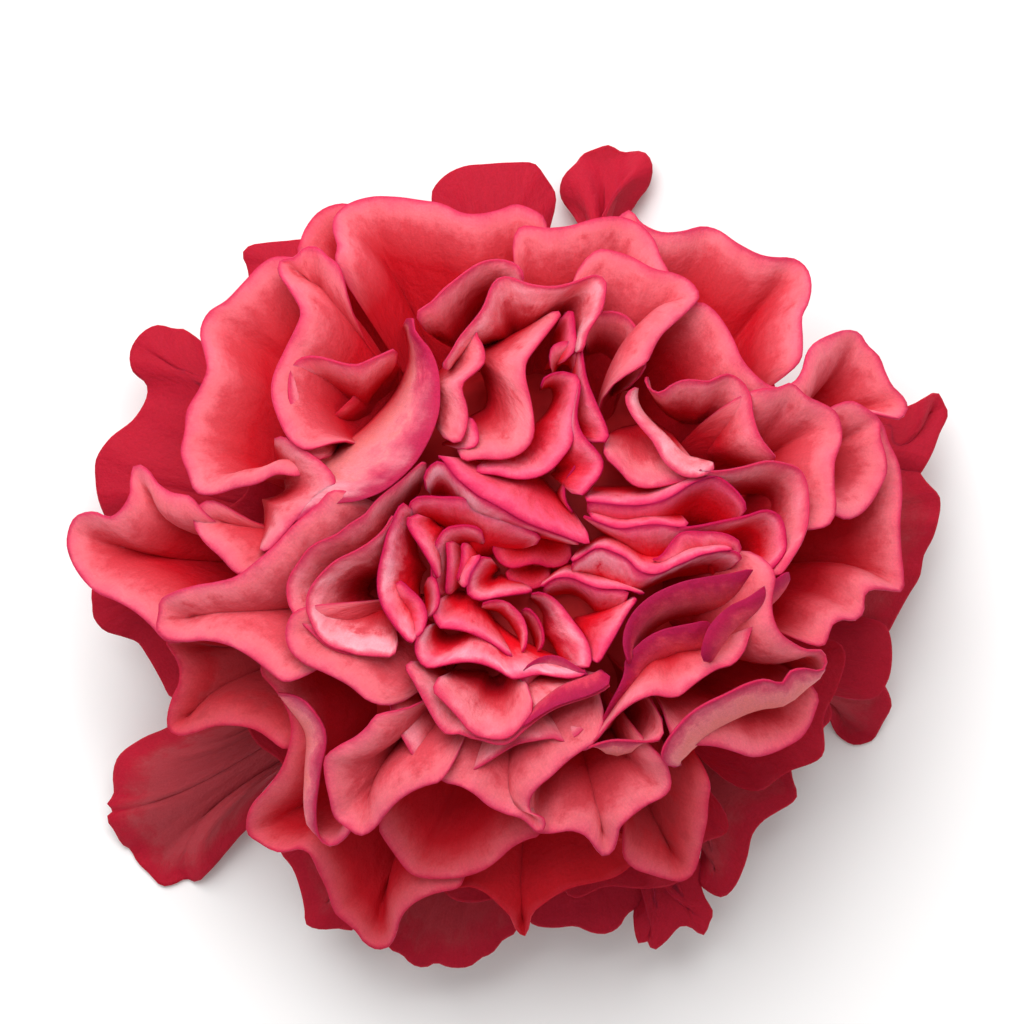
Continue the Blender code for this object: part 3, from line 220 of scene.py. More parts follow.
        (1.8, -34.6), (3.8, -36.4), (4.7, -35.9), (4.6, -34.5), (2.9, -33.6), (2.8, -32), (3.8, -30.4),
        (5.5, -29), (7.5, -27.1), (9.5, -25.6), (12, -24.4), (16, -23, -2))),
    ("bottom_cup", "outer", {}, (
        (0, -32, -4), (3, -36.2, -2), (5.5, -36.5), (8.3, -36.2), (10.2, -37), (11.5, -38.6),
        (12.4, -39.6), (13.5, -39.2), (14.2, -37.5), (14.5, -36), (16, -34.4), (18.3, -32.7),
        (20.5, -31.6), (21.3, -30.4), (21.2, -28.8), (20.6, -27), (20.4, -25.3), (21, -22, -2))),
    ("bottom_roll", "outer", dict(lift=(1,), belly=(0, 2.5, 0)), (
        (6, -27.6, -1), (9, -25.9), (11, -24.7), (13.5, -24), (16.5, -24.1), (19, -24.3), (20.4, -24.6),
        (23, -23, -1))),
    ("bottom_pale", "outer", dict(lift=(-4,)), (
        (-20, -32, -4), (-17.5, -36), (-16.3, -37.8), (-14.8, -40), (-13.2, -42), (-11.5, -42.7),
        (-8.5, -42.8), (-5.5, -42.4), (-3, -41.4), (-1.2, -40), (0.3, -38.6), (2.5, -37.4), (4.5, -36.9),
        (8, -34, -3))),
    ("bottom_long", "outer", dict(lift=(-8,)), (
        (-13, -39, -4), (-8, -44), (-5, -44), (-3, -44.9), (-1.2, -46.6), (0.3, -48.2), (1, -49.8),
        (2, -50.9), (2.5, -49.5), (3, -47.8), (5, -46), (8, -44.2), (11, -43.5), (14, -42.7),
        (16, -41.3), (17.5, -39.5), (16.5, -37, -1), (13, -34, -3))),
    ("bottom_right", "outer", dict(lift=(-4,), tone=(0.4,)), (
        (12, -36, -3), (16.3, -41.3), (18.5, -42.2), (21, -43), (23, -43.3), (24.3, -42.4), (25, -41),
        (25.6, -38), (26.2, -35), (26.4, -32), (27, -29.8), (29, -26, -2))),
    ("right_lower", "outer", dict(lift=(-1,)), (
        (18, -22.5, -1), (21, -24.7), (24, -24.9), (27, -25.1), (29.5, -25.8), (32.2, -26.6),
        (34.5, -26.2), (36.8, -25.2), (38.6, -24.1), (39.8, -22.4), (40.5, -20.5), (41.3, -18.3),
        (42, -14, -2))),
    ("right_cup", "outer", {}, (
        (44, 21, -2), (49.2, 17.9), (50.5, 14.8), (51.8, 12), (52.2, 8), (51.9, 4.5), (52.1, 0),
        (52.4, -3), (52.3, -4.7), (50.5, -4.6), (47.8, -4.6), (47, -5.5), (46.9, -7.6), (45.7, -8.6),
        (44.3, -8.4), (42.7, -9.2), (42.1, -10.8), (41.5, -12.2), (37, -14, -3))),
    ("right_fold", "outer", dict(lift=(3,), belly=(0, 0, 0, 4, 4, 4, 3)), (
        (37, 2, -3), (35.5, -1.5), (34.6, -5), (34.6, -7.8), (35.6, -10.1), (37.5, -11.6), (39.5, -12.5),
        (41.2, -12.6), (41.8, -13.8), (41, -15), (38.5, -14.7), (36.8, -15.1), (35.7, -16.6),
        (33.5, -16.1), (31, -16.7), (28.5, -17.9), (25.5, -19.3), (23.3, -20.8), (21.3, -23), (20, -25),
        (18.7, -27), (20.5, -29.2, -1))),
    ("right_coral", "outer", dict(lift=(2,)), (
        (29, 25, -2), (33, 22.2), (35.5, 22.1), (37.2, 22.7), (39.3, 21), (41.5, 20), (43.2, 18.9),
        (43.9, 17), (43.9, 15), (43, 12.5), (42.9, 9), (43.1, 6), (42, 3.5), (39, 0, -2))),
    ("right_curl", "outer", dict(lift=(1,)), (
        (41, 23, -3), (46.5, 20), (49.2, 17.9), (49.2, 16), (50, 13), (50.1, 11), (49.2, 9), (48, 7),
        (46.3, 5.3), (44.8, 4.7), (43, 4.6), (40, 2, -2))),
    ("upper_right_swan", "outer", dict(lift=(1,)), (
        (21, 36, -2), (25, 33.8), (27.3, 32), (29.3, 29), (30.6, 26), (32.5, 23.7), (34.5, 22.3),
        (36, 22.2), (37.8, 23.1), (38.8, 24.7), (39.3, 26.5), (40.3, 28), (42.5, 29.2), (45, 29.9),
        (46.6, 29.5), (47.6, 28), (49.3, 26.3), (50, 24.5), (51, 22.5), (52.5, 21), (53.1, 19.5),
        (52.2, 18.2), (50.5, 17.9), (47, 16, -3))),
    ("upper_right", "outer", dict(lift=(3,)), (
        (7, 41.5, -2), (10, 41), (13, 40.3), (16, 39.4), (19, 37.8), (22, 37.1), (24, 36), (25.1, 34.2),
        (24.3, 32.9), (22, 30.7), (20, 28.8), (18.7, 26.4), (18.1, 24.3), (17, 20.5, -2))),
    ("upper_left_hollow", "outer", dict(lift=(2,), lip=(20,)), (
        (-18, 36, -2), (-22, 38.2), (-24, 39.4), (-25.4, 40.7), (-27, 40.7), (-28.5, 39.3), (-30.3, 39),
        (-30.5, 37.6), (-29.3, 35.6), (-27.8, 33.2), (-27.4, 32), (-28.1, 29.8), (-29.5, 27),
        (-31, 23.5), (-31.2, 21), (-30.4, 18.3), (-29, 15.5), (-27.2, 14), (-22, 12, -2))),
    ("hollow_inner", "fold", dict(into=(-19, 17), wide=(4, 9, 10, 10, 9, 8, 6), drop=16, lip=(25,), shade_below=0.3, pale_and_highlight=(0.3,)), (
        (-24, 11, -1), (-27.2, 14.1), (-28.3, 18), (-29, 22), (-28.6, 24.8), (-27.2, 26), (-25, 26),
        (-22, 25.2), (-20, 25), (-17.5, 26), (-15.3, 26.9), (-12.5, 28, -3))),
    ("hollow_fold", "fold", dict(into=(-15, 16), wide=(4,), drop=8, lift=(-7,)), (
        (-13.5, 27, -2), (-16, 25.3), (-18, 24), (-19.8, 22.6), (-20.3, 21.2), (-21.5, 20), (-23, 18.5),
        (-25, 17, -2))),
    ("big_lip", "fold", dict(into=(-60, 22), wide=(1.5, 1.5, 2, 3, 4.5, 6, 7.5, 8.6, 9.6, 10.2, 10.3, 9.6, 8.2, 6, 3.5, 1.5, 1),
                     drop=14, lift=(2,), lip=(3,), shade_below=0, pale_and_highlight=(0, 0.2, 1), edge=(1.4,), outer=True), (
        (-13.5, 32.5, -2), (-12.3, 31.4), (-12.3, 29.8), (-11.5, 28.5), (-10.3, 27), (-9.6, 25.5),
        (-9.2, 24), (-9, 22), (-9.1, 19), (-9.8, 16.5), (-11, 14), (-12.3, 12), (-14.3, 10),
        (-16.5, 8.4), (-19, 7.4), (-22, 6.9), (-24.5, 6.3), (-26.4, 5.4), (-29, 3, -3))),
    ("left_swan", "fold", dict(into=(-34, 8), wide=(2, 4, 6, 6.5, 6, 4, 2), drop=13, lift=(1,), lip=(20,), shade_below=0.4), (
        (-31.5, 17, -2), (-30, 15.9), (-28, 14.6), (-25.7, 13.1), (-24, 11.8), (-22.9, 10.3), (-22.8, 9),
        (-23.8, 7.7), (-25.3, 6.6), (-27.3, 5.2), (-29, 3.4), (-31, 1.2), (-33.5, -1, -1))),
    ("small_tongue", "fold", dict(into=(-25, 10), wide=(4,), drop=3, lift=(-5,), lip=(5,)), (
        (-26.4, 7, -1), (-26.6, 4.5), (-26, 3.3), (-25.2, 2.5), (-24.3, 2.1), (-23.5, 2.4), (-23.2, 4),
        (-23.2, 7, -1))),
    ("left_heart", "fold", dict(into=(-14, -5), wide=(4, 5, 6, 7, 8, 8), drop=12, lift=(2,), lip=(20,), shade_below=0.5), (
        (-9, 13.5, -1), (-11, 12.4), (-12.5, 11.3), (-14, 9.9), (-16, 8.4), (-17.6, 6.9), (-18.7, 5.5),
        (-19.7, 4.8), (-21, 4), (-22.2, 3), (-23.5, 2.3), (-25, 1.7), (-26.3, 0.8), (-27.5, -0.8),
        (-28.6, -2.5), (-29.1, -4), (-28.8, -6.5), (-27.5, -8.4), (-25.8, -10.1), (-24, -11.7),
        (-22, -12.6), (-20, -13.2, -1), (-17, -14, -2))),
    ("left_heart_lip", "fold", dict(into=(-15, -3), wide=(2, 4, 6, 8, 8, 8, 6), drop=13, lift=(2.5,), lip=(20,), shade_below=0.5, pale_and_highlight=(1,)), (
        (-14, 7, -1), (-14.8, 6), (-15.5, 4.6), (-16.5, 3.2), (-18, 1.9), (-19.5, 0.9), (-21, 0.1),
        (-22.5, -0.6), (-24, -1.9), (-25.3, -3.3), (-26.3, -5), (-26.5, -7), (-26, -8.5), (-25.3, -10),
        (-24.2, -11.3), (-23, -12), (-21.5, -12.4), (-20, -12.9), (-18, -13.1), (-15, -13.4),
        (-13.3, -14.6, -1))),
    ("heart_left", "heart", dict(into=(-10, -2), wide=(4, 6, 6, 5), drop=10, lift=(2,), lip=(35,),
                                 pale_and_highlight=(1,)), (
        (-12.3, 8.2, -1), (-13.8, 7), (-15, 5), (-15.8, 3), (-16.3, 1), (-16.8, -1), (-17.1, -3),
        (-17, -5), (-16.3, -7), (-15, -9), (-13.5, -10.8), (-12.4, -11.9), (-11.4, -13, -1))),
    ("heart_left_strand", "heart", dict(into=(-8, 4), wide=(4,), drop=8, lift=(1.5,), lip=(40,)), (
        (-12.9, 6.8, -1), (-13.3, 5.5), (-13.3, 4.3), (-12.7, 3), (-11.7, 1.5), (-10.8, 0), (-10, -1.3),
        (-9.3, -3), (-9, -5, -1))),
    ("heart_left_twist", "heart", dict(into=(-16, -8), wide=(4,), drop=8, lift=(1,), lip=(20,)), (
        (-15, -1.5, -1), (-14.3, -2.9), (-12.9, -4.4), (-11.8, -5.4), (-11, -6.6), (-10.7, -8),
        (-11.1, -9.6), (-12, -11.2), (-12.6, -12.3, -1))),
    ("heart_left_core", "heart", dict(into=(-13, -9), wide=(3,), drop=8, lift=(1,), lip=(20,)), (
        (-10.4, -1, -1), (-9.8, -2.6), (-9.3, -4), (-9.1, -5.5), (-9.3, -7), (-9.7, -8.6, -1))),
    ("bar_ribbon", "heart", dict(into=(4, 14), wide=(3, 5, 6, 7, 6), drop=8, lift=(2,), lip=(0,), shade_below=0.6, pale_and_highlight=(0.1,), edge=(1.2,)), (
        (-10.8, 12, -1), (-10.2, 12.8), (-9.3, 13.1), (-8.4, 12.2), (-7, 10.3), (-5.5, 9), (-4, 7.8),
        (-2.5, 7), (-1, 6.2), (1, 5), (3, 4), (5, 3.3), (7, 2.6), (9, 1.8), (10.7, 1.3), (12.5, 0.8, -1))),
    ("bar_face", "heart", dict(into=(-7, 1), wide=(3, 4.5, 4, 3, 2), drop=9, lift=(1.8,), lip=(35,),
                               pale_and_highlight=(1,)), (
        (-11.6, 8.5, -1), (-11, 10.5), (-10, 11.9), (-9, 12.3), (-8, 11.5), (-7, 10.2), (-5.5, 8.9),
        (-4, 7.7), (-2.5, 6.9), (-1, 6.1), (1, 4.9), (3, 3.9), (5, 3.2), (7, 2.5), (9, 1.7), (11, 1, -1))),
    ("heart_arch", "heart", dict(into=(-5, -2), wide=(2, 5, 8, 8, 6, 4), drop=9, lift=(0.5,), lip=(35,),
                                 pale_and_highlight=(0.4,)), (
        (-13.6, 4.6, -1), (-13.2, 6.4), (-12.2, 7.5), (-11, 7.7), (-9, 7.6), (-7, 7.6), (-5.5, 7.4),
        (-4, 6.8), (-2.5, 6), (-1, 5.3), (0.5, 4.6), (2.5, 3.4), (4.2, 2.5), (6, 1.5, -1))),
    ("pleat_left", "heart", dict(into=(-4, -1), wide=(3.5,), drop=9, lift=(-0.5,), lip=(35,),
                                 pale_and_highlight=(0.7,)), (
        (-9.6, -7, -1), (-10, -4.5), (-10.1, -2), (-10, 0), (-9.6, 1.5), (-8.9, 2.8), (-8.2, 3.5),
        (-7.2, 3.8), (-5.5, 3.9), (-3.5, 3.4), (-2, 2.6, -1))),
    ("pleat_middle", "heart", dict(into=(-3, -1), wide=(3.5,), drop=9, lift=(-0.8,), lip=(35,)), (
        (-8.8, -6.8, -1), (-8.3, -5), (-8.1, -3), (-8, -1), (-8.1, 1), (-8.4, 2.6), (-7.8, 3.3, -1))),
    ("pleat_right", "heart", dict(into=(-2, -1), wide=(3.5,), drop=9, lift=(-1,), lip=(35,)), (
        (-7.8, -4.8, -1), (-7, -3.4), (-6.5, -2.2), (-6.2, -0.6), (-6.1, 0.7), (-6.4, 2.1), (-7, 3.2, -1))),
    ("pit_lip_back", "heart", dict(into=(-9, -1), wide=(3,), drop=6, lip=(10,), lift=(0,)), (
        (-2, 0.4, -1), (-3.2, 0.3), (-4, -0.8), (-4.8, -2.2), (-5.3, -3.7), (-5.5, -4.8), (-4.8, -5.6, -1))),
    ("pit_lip", "heart", dict(into=(-1, -2), wide=(3.5,), drop=9, lip=(45,), lift=(0,), pale_and_highlight=(0.7,)), (
        (-2, 0.5, -1), (-3.2, 0.3), (-4, -0.8), (-4.8, -2.2), (-5.3, -3.8), (-5.4, -4.8), (-4.7, -5.5),
        (-3.5, -5.8), (-2, -5.5), (-0.3, -5.2), (1.5, -4.9), (3.5, -4.7), (5, -5, -1))),
    ("centre_petal", "heart", dict(into=(1, -11), wide=(0.8, 2, 3.6, 5, 5, 4), drop=7, lip=(10,), lift=(1,), shade_below=0.6, pale_and_highlight=(1,)), (
        (2, -4.8, -1), (3.8, -4.8), (5.1, -5.1), (6.4, -6), (7.6, -7.4), (8.8, -9), (9.8, -10.3),
        (10.6, -12), (10.8, -13.7), (10.5, -15.3), (9.6, -16, -1))),
    ("centre_under", "heart", dict(into=(3, -13), wide=(2, 4, 4, 2), drop=9, lip=(40,), lift=(-1,)), (
        (0.5, -6.3, -1), (1.8, -6.6), (3, -7.4), (3.9, -8.7), (4.4, -10.2), (4.3, -11.8), (3.5, -13.2, -1))),
    ("tongue", "heart", dict(into=(-4, -12), wide=(1, 1.4, 1.9, 1.9, 1, 0.5), drop=5, lip=(0,), lift=(0.6,), pale_and_highlight=(1,)), (
        (-4.4, -6, -1), (-3, -6), (-1.5, -5.8), (-0.3, -6), (0.9, -6.9), (1.9, -8.1), (2.4, -9.6),
        (2.4, -11), (2, -12.4), (1.5, -13.6, -1))),
    ("heart_curl", "heart", dict(into=(-4, -3), wide=(4, 6, 6, 4), drop=9, lift=(0.3,), lip=(25,)), (
        (-10.9, -5.5, -1), (-10.1, -7.2), (-9.6, -8.6), (-9.1, -9.4), (-8, -9.5), (-6.5, -9.7), (-5, -10.1),
        (-3.5, -10.8), (-2, -11.6), (-0.5, -12.7), (0.8, -13.6), (2.2, -14.2, -1))),
    ("heart_low", "heart", dict(into=(-3, -6), wide=(3, 4, 6, 8, 8, 6, 3), drop=9, lift=(1,), lip=(20,),
                                pale_and_highlight=(1,)), (
        (-10.8, -8.3, -1), (-11.8, -10.3), (-12.3, -11.8), (-12, -13.3), (-11.2, -14.4), (-10.3, -14.7),
        (-9, -14.4), (-7, -14), (-5, -13.9), (-3, -14.3), (-1.2, -15.1), (0.6, -16.1), (2, -15.9),
        (4, -15.5), (6, -15.8), (8, -16), (10, -15.6), (12, -14.8, -1))),
    ("heart_bow", "heart", dict(into=(5, -20), wide=(1.8,), drop=1.5, lift=(0.6,), lip=(5,), outer=True), (
        (0.6, -16.2, -1), (1.4, -15.2), (2.5, -14.2), (4, -13.3), (5.5, -13), (7, -13.3), (8.5, -14.2),
        (10.2, -15.2), (12, -15.5, -1))),
    ("low_heart", "fold", dict(into=(-1, -12), wide=(3, 6, 8, 9, 8, 6), drop=11, lift=(2,), lip=(20,), shade_below=0.8, pale_and_highlight=(0.5,)), (
        (-15, -12.8, -1), (-13, -15.5), (-12.2, -16.9), (-11.2, -18.8), (-10, -21), (-9, -22.6),
        (-8, -23.4), (-6.8, -23.2), (-5, -23.8), (-3.5, -24.1), (-2, -24.6), (-0.5, -24.7), (0.5, -24.1),
        (2, -22.8), (4, -21.2), (6, -20), (8, -19.2), (10.5, -18.4), (12.8, -17.3), (15, -15, -1))),
    ("low_heart_fold", "fold", dict(into=(-1, -12), wide=(4, 7, 8, 8), drop=11, lift=(2.6,), lip=(20,), shade_below=0.8, pale_and_highlight=(0.4,)), (
        (-11.5, -15.8, -1), (-10.3, -17.3), (-9, -18.6), (-8, -19.6), (-6.7, -21), (-5.6, -22.4),
        (-4.4, -23.4), (-3, -23.8), (-1.5, -24), (0, -23.7), (1.3, -22.6), (2.6, -21), (3.8, -19.7),
        (5, -18.8, -1))),
    ("low_heart_band", "heart", dict(into=(7, -12), wide=(2.2,), drop=1.5, lift=(2.6,), lip=(0,),
                                     outer=True, pale_and_highlight=(0,), edge=(0.8,), shade_below=0.2), (
        (0.5, -23.6, -1), (2.2, -22.2), (4.1, -20.8), (6.1, -19.7), (8, -19), (10.5, -18.2), (12.9, -17),
        (14.6, -15.8, -1))),
    ("pit_curtain", "heart", dict(into=(5, 8), wide=(6, 8, 8, 6), drop=7, lift=(-3,), lip=(35,),
                                  pale_and_highlight=(0.1,)), (
        (-2.6, 3.4, -1), (-2.3, 1.8), (-1.9, 0.4), (-1.5, -0.5), (-0.6, -1.3), (0.7, -1.6), (2.2, -1.2),
        (3.7, -1), (5.3, -1.5), (7, -1.3), (8.3, -0.4), (9.8, 0.7, -1))),
    ("pit_curtain_low", "heart", dict(into=(4, 2), wide=(6,), drop=7, lift=(-4,), lip=(35,), pale_and_highlight=(0.1,)), (
        (-1.4, -1, -1), (-0.7, -2.4), (0.2, -3.4), (1.5, -4.1), (3, -4.4), (4.2, -4), (5.5, -3.1),
        (7, -2.4, -1))),
    ("ridge_ribbon", "heart", dict(into=(10, 4), wide=(1.4, 2.2, 2.4, 2.2, 1), drop=6, lift=(1,), lip=(12,),
                                   pale_and_highlight=(0.5,)), (
        (2.8, -4.8, -1), (3.8, -4.4), (4.8, -3.6), (5.9, -3), (7.2, -2.8), (8.5, -3), (10, -3.7),
        (11.3, -4.2), (12.8, -4.4), (14.2, -4.4), (16, -4.6), (17.5, -5), (19, -5.6, -1))),
    ("ridge_face", "heart", dict(into=(12, -9), wide=(2, 3, 5, 7, 6), drop=9, lift=(0.8,), lip=(30,),
                                 pale_and_highlight=(0.2,)), (
        (3, -4.9, -1), (4, -4.4), (5, -3.7), (6, -3.1), (7.3, -2.9), (8.5, -3.1), (10, -3.8), (11.3, -4.3),
        (12.8, -4.5), (14.2, -4.5), (16, -4.7), (17.6, -5.2, -1))),
    ("heart_side", "heart", dict(into=(8, -8), wide=(3, 6, 7, 4), drop=10, lift=(1,), lip=(25,)), (
        (18.3, -4.4, -1), (17, -5.4), (15.8, -7.1), (14.7, -9), (13.7, -10.8), (12.6, -12.6), (11.6, -14.3),
        (10.5, -15.7, -1))),
    ("wave_ribbon", "heart", dict(into=(17, 12), wide=(2.4,), drop=7, lift=(1.8,), lip=(12,),
                                  pale_and_highlight=(0.5,)), (
        (6.5, -1.6, -1), (8, -0.9), (9.3, -0.2), (10.3, 0.5), (11.3, 1), (12.3, 1), (13.6, 0.5),
        (14.8, 0), (15.8, -0.7), (16.5, -1.6), (17.3, -2.1), (18.3, -2.4), (19.3, -2.4), (20.5, -2),
        (21.8, -1.3), (23.3, -0.7), (24.8, 0), (26.5, 0.4), (29, 0.7), (31, 0.2, -1))),
    ("wave_face", "heart", dict(into=(13, -9), wide=(2, 4, 6, 5, 4, 5, 6, 6), drop=8, lift=(1.6,),
                                lip=(30,), pale_and_highlight=(0.8,)), (
        (6.6, -1.7, -1), (8, -1), (9.3, -0.3), (10.3, 0.4), (11.3, 0.9), (12.3, 0.9), (13.6, 0.4),
        (14.8, -0.1), (15.8, -0.8), (16.5, -1.7), (17.3, -2.2), (18.3, -2.5), (19.3, -2.5), (20.5, -2.1),
        (21.8, -1.4), (23.3, -0.8), (24.8, -0.1), (26.5, 0.3), (29, 0.6), (31, -0.4), (32, -1.6, -1))),
    ("wave_upper", "heart", dict(into=(27, -4), wide=(3, 5, 7, 6), drop=7, lift=(1.2,), lip=(25,)), (
        (17, 0.3, -1), (18.4, -0.5), (19.5, -0.4), (20.3, 0.4), (21.2, 1.7), (22.2, 2.8), (23.5, 3.2),
        (25, 3.1), (28, 2.9), (30.3, 1.7), (31.3, -0.5, -1))),
    ("heart_upper", "heart", dict(into=(19, -4), wide=(2, 5, 7, 7, 6, 7, 7, 6, 4), drop=9, lift=(1,),
                                  lip=(35,)), (
        (8, 6.2, -1), (9.5, 5.2), (11, 4.6), (12.5, 4), (14, 3.5), (15.5, 3.5), (17, 3.8), (19, 4),
        (21, 3.8), (23, 3.6), (25, 3.8), (28, 4.4), (31, 5), (34, 5.8), (35.6, 5), (36.3, 2.5),
        (36.2, 0.6), (34.5, -1.6), (32, -4, -1))),
    ("heart_upper_band", "heart", dict(into=(17, 12), wide=(2.2,), drop=7, lift=(1.1,), lip=(20,),
                                       pale_and_highlight=(0.4,)), (
        (9, 5.5, -1), (11, 4.7), (12.5, 4.1), (14, 3.6), (15.5, 3.6), (17, 3.9), (19, 4.1), (21, 3.9),
        (23, 3.7), (25, 3.8, -1))),
    ("upper_lip_band", "heart", dict(into=(17, 16), wide=(2.5,), drop=8, lift=(1.5,), lip=(20,),
                                     pale_and_highlight=(0.4,)), (
        (8.3, 7.4, -1), (9.6, 7.1), (11, 7), (13, 6.8), (15, 6.6), (17, 6.6), (19, 6.9), (20.5, 7.4),
        (22, 8.2), (23.5, 9.2), (25, 9.9), (27, 10.4), (29, 9.6, -1))),
    ("upper_lip_face", "heart", dict(into=(17, -6), wide=(4, 7, 7, 7, 5), drop=9, lift=(1.4,), lip=(50,),
                                     pale_and_highlight=(0.1,)), (
        (8.3, 7.3, -1), (9.6, 7), (11, 6.9), (13, 6.7), (15, 6.5), (17, 6.5), (19, 6.8), (20.5, 7.3),
        (22, 8.1), (23.5, 9.1), (25, 9.8), (27, 10.3), (29.5, 8.6), (31.3, 6), (32, 4.5, -1))),
    ("double_rim", "fold", dict(into=(17, 22), wide=(3, 6, 9, 9, 7), drop=11, lift=(0.5,), lip=(25,), shade_below=0.5, pale_and_highlight=(0.3,)), (
        (11, 14.4, -1), (12, 13.2), (13.2, 12.3), (14.6, 11), (15.8, 9.6), (17, 9), (18.5, 8.9),
        (20.5, 9.2), (22.5, 9.7), (24.5, 10.1), (26.8, 10.6, -1))),
    ("double_rim_right", "heart", dict(into=(6, 17), wide=(5,), drop=9, lift=(1,), lip=(35,)), (
        (9.3, 30, -2), (9.5, 26), (10.1, 23), (11, 20.7), (11.9, 18.7), (12.7, 16.8), (13, 15.4),
        (12.6, 14.3), (11.8, 13.4, -1))),
    ("double_rim_left", "heart", dict(into=(5, 11), wide=(4, 5, 6, 6), drop=9, lift=(1.6,), lip=(30,)), (
        (9.6, 24.5, -1), (9, 21), (8.7, 18.3), (9.3, 16.2), (10.3, 14.9), (11.4, 13.7), (12.2, 12.5),
        (12.2, 11.3), (11.5, 10), (10.4, 8.8), (9.7, 7.4), (9.3, 6, -1))),
    ("double_rim_fold", "heart", dict(into=(6, 8), wide=(6,), drop=9, lift=(-1.5,), lip=(40,),
                                      pale_and_highlight=(0.1,)), (
        (10.3, 13.6, -1), (9.4, 12.8), (8.3, 11.4), (7.4, 9.8), (7.2, 8), (7.6, 6.4), (8.6, 5.2),
        (10, 4.8, -1))),
    ("crinkle", "heart", dict(into=(1, 17), wide=(1.5, 2, 4, 5.4, 5.4, 5, 4, 4, 3), drop=8, lift=(0.5,), lip=(15,), shade_below=0.7, pale_and_highlight=(0.3,)), (
        (4.2, 21.5, -1), (4.6, 23.1), (6, 23.9), (7, 24.1), (8, 23.9), (9.1, 23.5), (9.2, 21.5),
        (8.8, 19), (8.6, 16.5), (8.2, 14.5), (7, 12.8), (5.5, 11.2), (3.8, 10.3), (2, 10), (0.3, 10.1),
        (-1.8, 10.6), (-4, 10.8), (-6.2, 11.2, -1))),
    ("crinkle_top", "heart", dict(into=(7, 21), wide=(3,), drop=3, lift=(-1,), lip=(0,), pale_and_highlight=(0.8,)), (
        (4.6, 25.6, -1), (5.4, 27.2), (6.6, 28), (7.8, 28.1), (9, 27.4), (9.4, 26, -1))),
    ("pit_wall", "fold", dict(into=(-7, 27), wide=(4, 7, 8, 9, 9, 9, 7, 6, 4), drop=11, lift=(1,), lip=(25,), shade_below=0.5, pale_and_highlight=(0.3,)), (
        (8.3, 33.8, -1), (7.5, 32.8), (6.3, 31), (5, 29.3), (3.5, 27.3), (2.3, 25.5), (2.1, 24),
        (2.4, 22), (2.9, 20), (3.2, 18), (3.2, 16), (2.7, 14.6), (1.5, 13.4), (0, 12.8), (-1.5, 12.6),
        (-3, 12.7), (-4.6, 12.6), (-6.2, 12.2), (-8, 11.5, -1))),
    ("pit_back", "heart", dict(into=(4, 24), wide=(6,), drop=7, lift=(0,), lip=(20,), pale_and_highlight=(0.1,)), (
        (6.8, 33.6, -1), (7.9, 33), (8.4, 31.5), (8.6, 29.5), (8.9, 27.8), (9.3, 25.5, -1))),
    ("inner_lobe", "fold", dict(into=(-14, 23), wide=(3, 5, 6, 6, 6, 6, 5), drop=9, lift=(1.6,), lip=(25,),
                                shade_below=0.5), (
        (-2.2, 31, -1), (-3.6, 30.5), (-4.4, 29.4), (-3.7, 28), (-3.2, 26.5), (-3.3, 25.3), (-4.3, 24.2),
        (-5.5, 23.2), (-6.1, 22.5), (-6.1, 21.3), (-5.6, 19.8), (-5.4, 18.5), (-5.5, 17), (-6, 15.5),
        (-6.8, 14.3), (-8.2, 13, -1))),
    ("inner_lobe_edge", "heart", dict(into=(-12, 16), wide=(4,), drop=7, lift=(0.6,), lip=(5,)), (
        (-5.5, 19.6, -1), (-4.6, 18), (-4.1, 16.6), (-3.9, 15.2), (-4.4, 13.9), (-5.5, 12.8, -1))),
    ("twin_lobe", "fold", dict(into=(1, 27), wide=(1.5, 3, 5, 7, 9, 9, 8, 6, 3, 2), drop=13, lift=(3,), lip=(25,), shade_below=0.4, pale_and_highlight=(1,)), (
        (-9.2, 22.5, -1), (-8.5, 25), (-7.5, 26.8), (-6.3, 28.8), (-5, 30.3), (-4, 31.5), (-3.2, 32.7),
        (-2.7, 34), (-2.2, 35.3), (-1.5, 36.3), (-0.5, 36.6), (0.8, 36.3), (2, 35.8), (3.5, 35.4),
        (5, 35.2), (7, 35.3), (9, 35.9), (10.5, 36.5), (11.8, 36.8), (12.7, 36), (12.6, 34.5),
        (12.2, 32.5), (11.2, 30.8), (10.3, 29.3), (9.8, 27.5), (9.5, 25, -1))),
    ("rolled_lip", "fold", dict(into=(-6, 26), wide=(3, 5, 8, 10, 8, 5), drop=14, lift=(2,), lip=(20,), shade_below=0.4), (
        (3, 35, -2), (1.9, 37), (1, 38.2), (-0.5, 38.8), (-2, 38.9), (-4.2, 38.2), (-7, 36.2), (-8.5, 35),
        (-10, 33.4), (-11.5, 32.4), (-12.6, 31.6), (-13.5, 30, -2))),
    ("round_shell", "fold", dict(into=(12, 20), wide=(3, 6, 9, 9, 7, 5), drop=15, lift=(0,), lip=(35,), shade_below=0.4, pale_and_highlight=(0.3,)), (
        (9.5, 28, -1), (9.9, 29.8), (10.8, 31.2), (13, 32), (15, 31.6), (16.3, 30.4), (17.2, 28.5),
        (17.8, 26), (17.6, 24), (16.8, 22.2, -1))),
    ("right_lobed", "fold", dict(into=(22, 11), wide=(2, 3, 5, 7, 9, 9, 8, 6), drop=11, lift=(1,), lip=(20,), shade_below=0.4, pale_and_highlight=(0.3,)), (
        (17.7, 25.5, -1), (17.7, 23), (18.4, 21.7), (19.8, 21.3), (21.5, 22.4), (23, 23), (24.5, 23),
        (26.3, 22.8), (27.8, 23.5), (29, 23.8), (30.8, 22.7), (31.7, 21), (32, 18.5), (33, 15.5),
        (35, 12.9), (37, 11, -2))),
    ("right_ribbon", "fold", dict(into=(27, 20), wide=(1, 1.6, 2, 2.6, 2.6, 1.5), drop=3, lift=(2,), lip=(0,), pale_and_highlight=(1,)), (
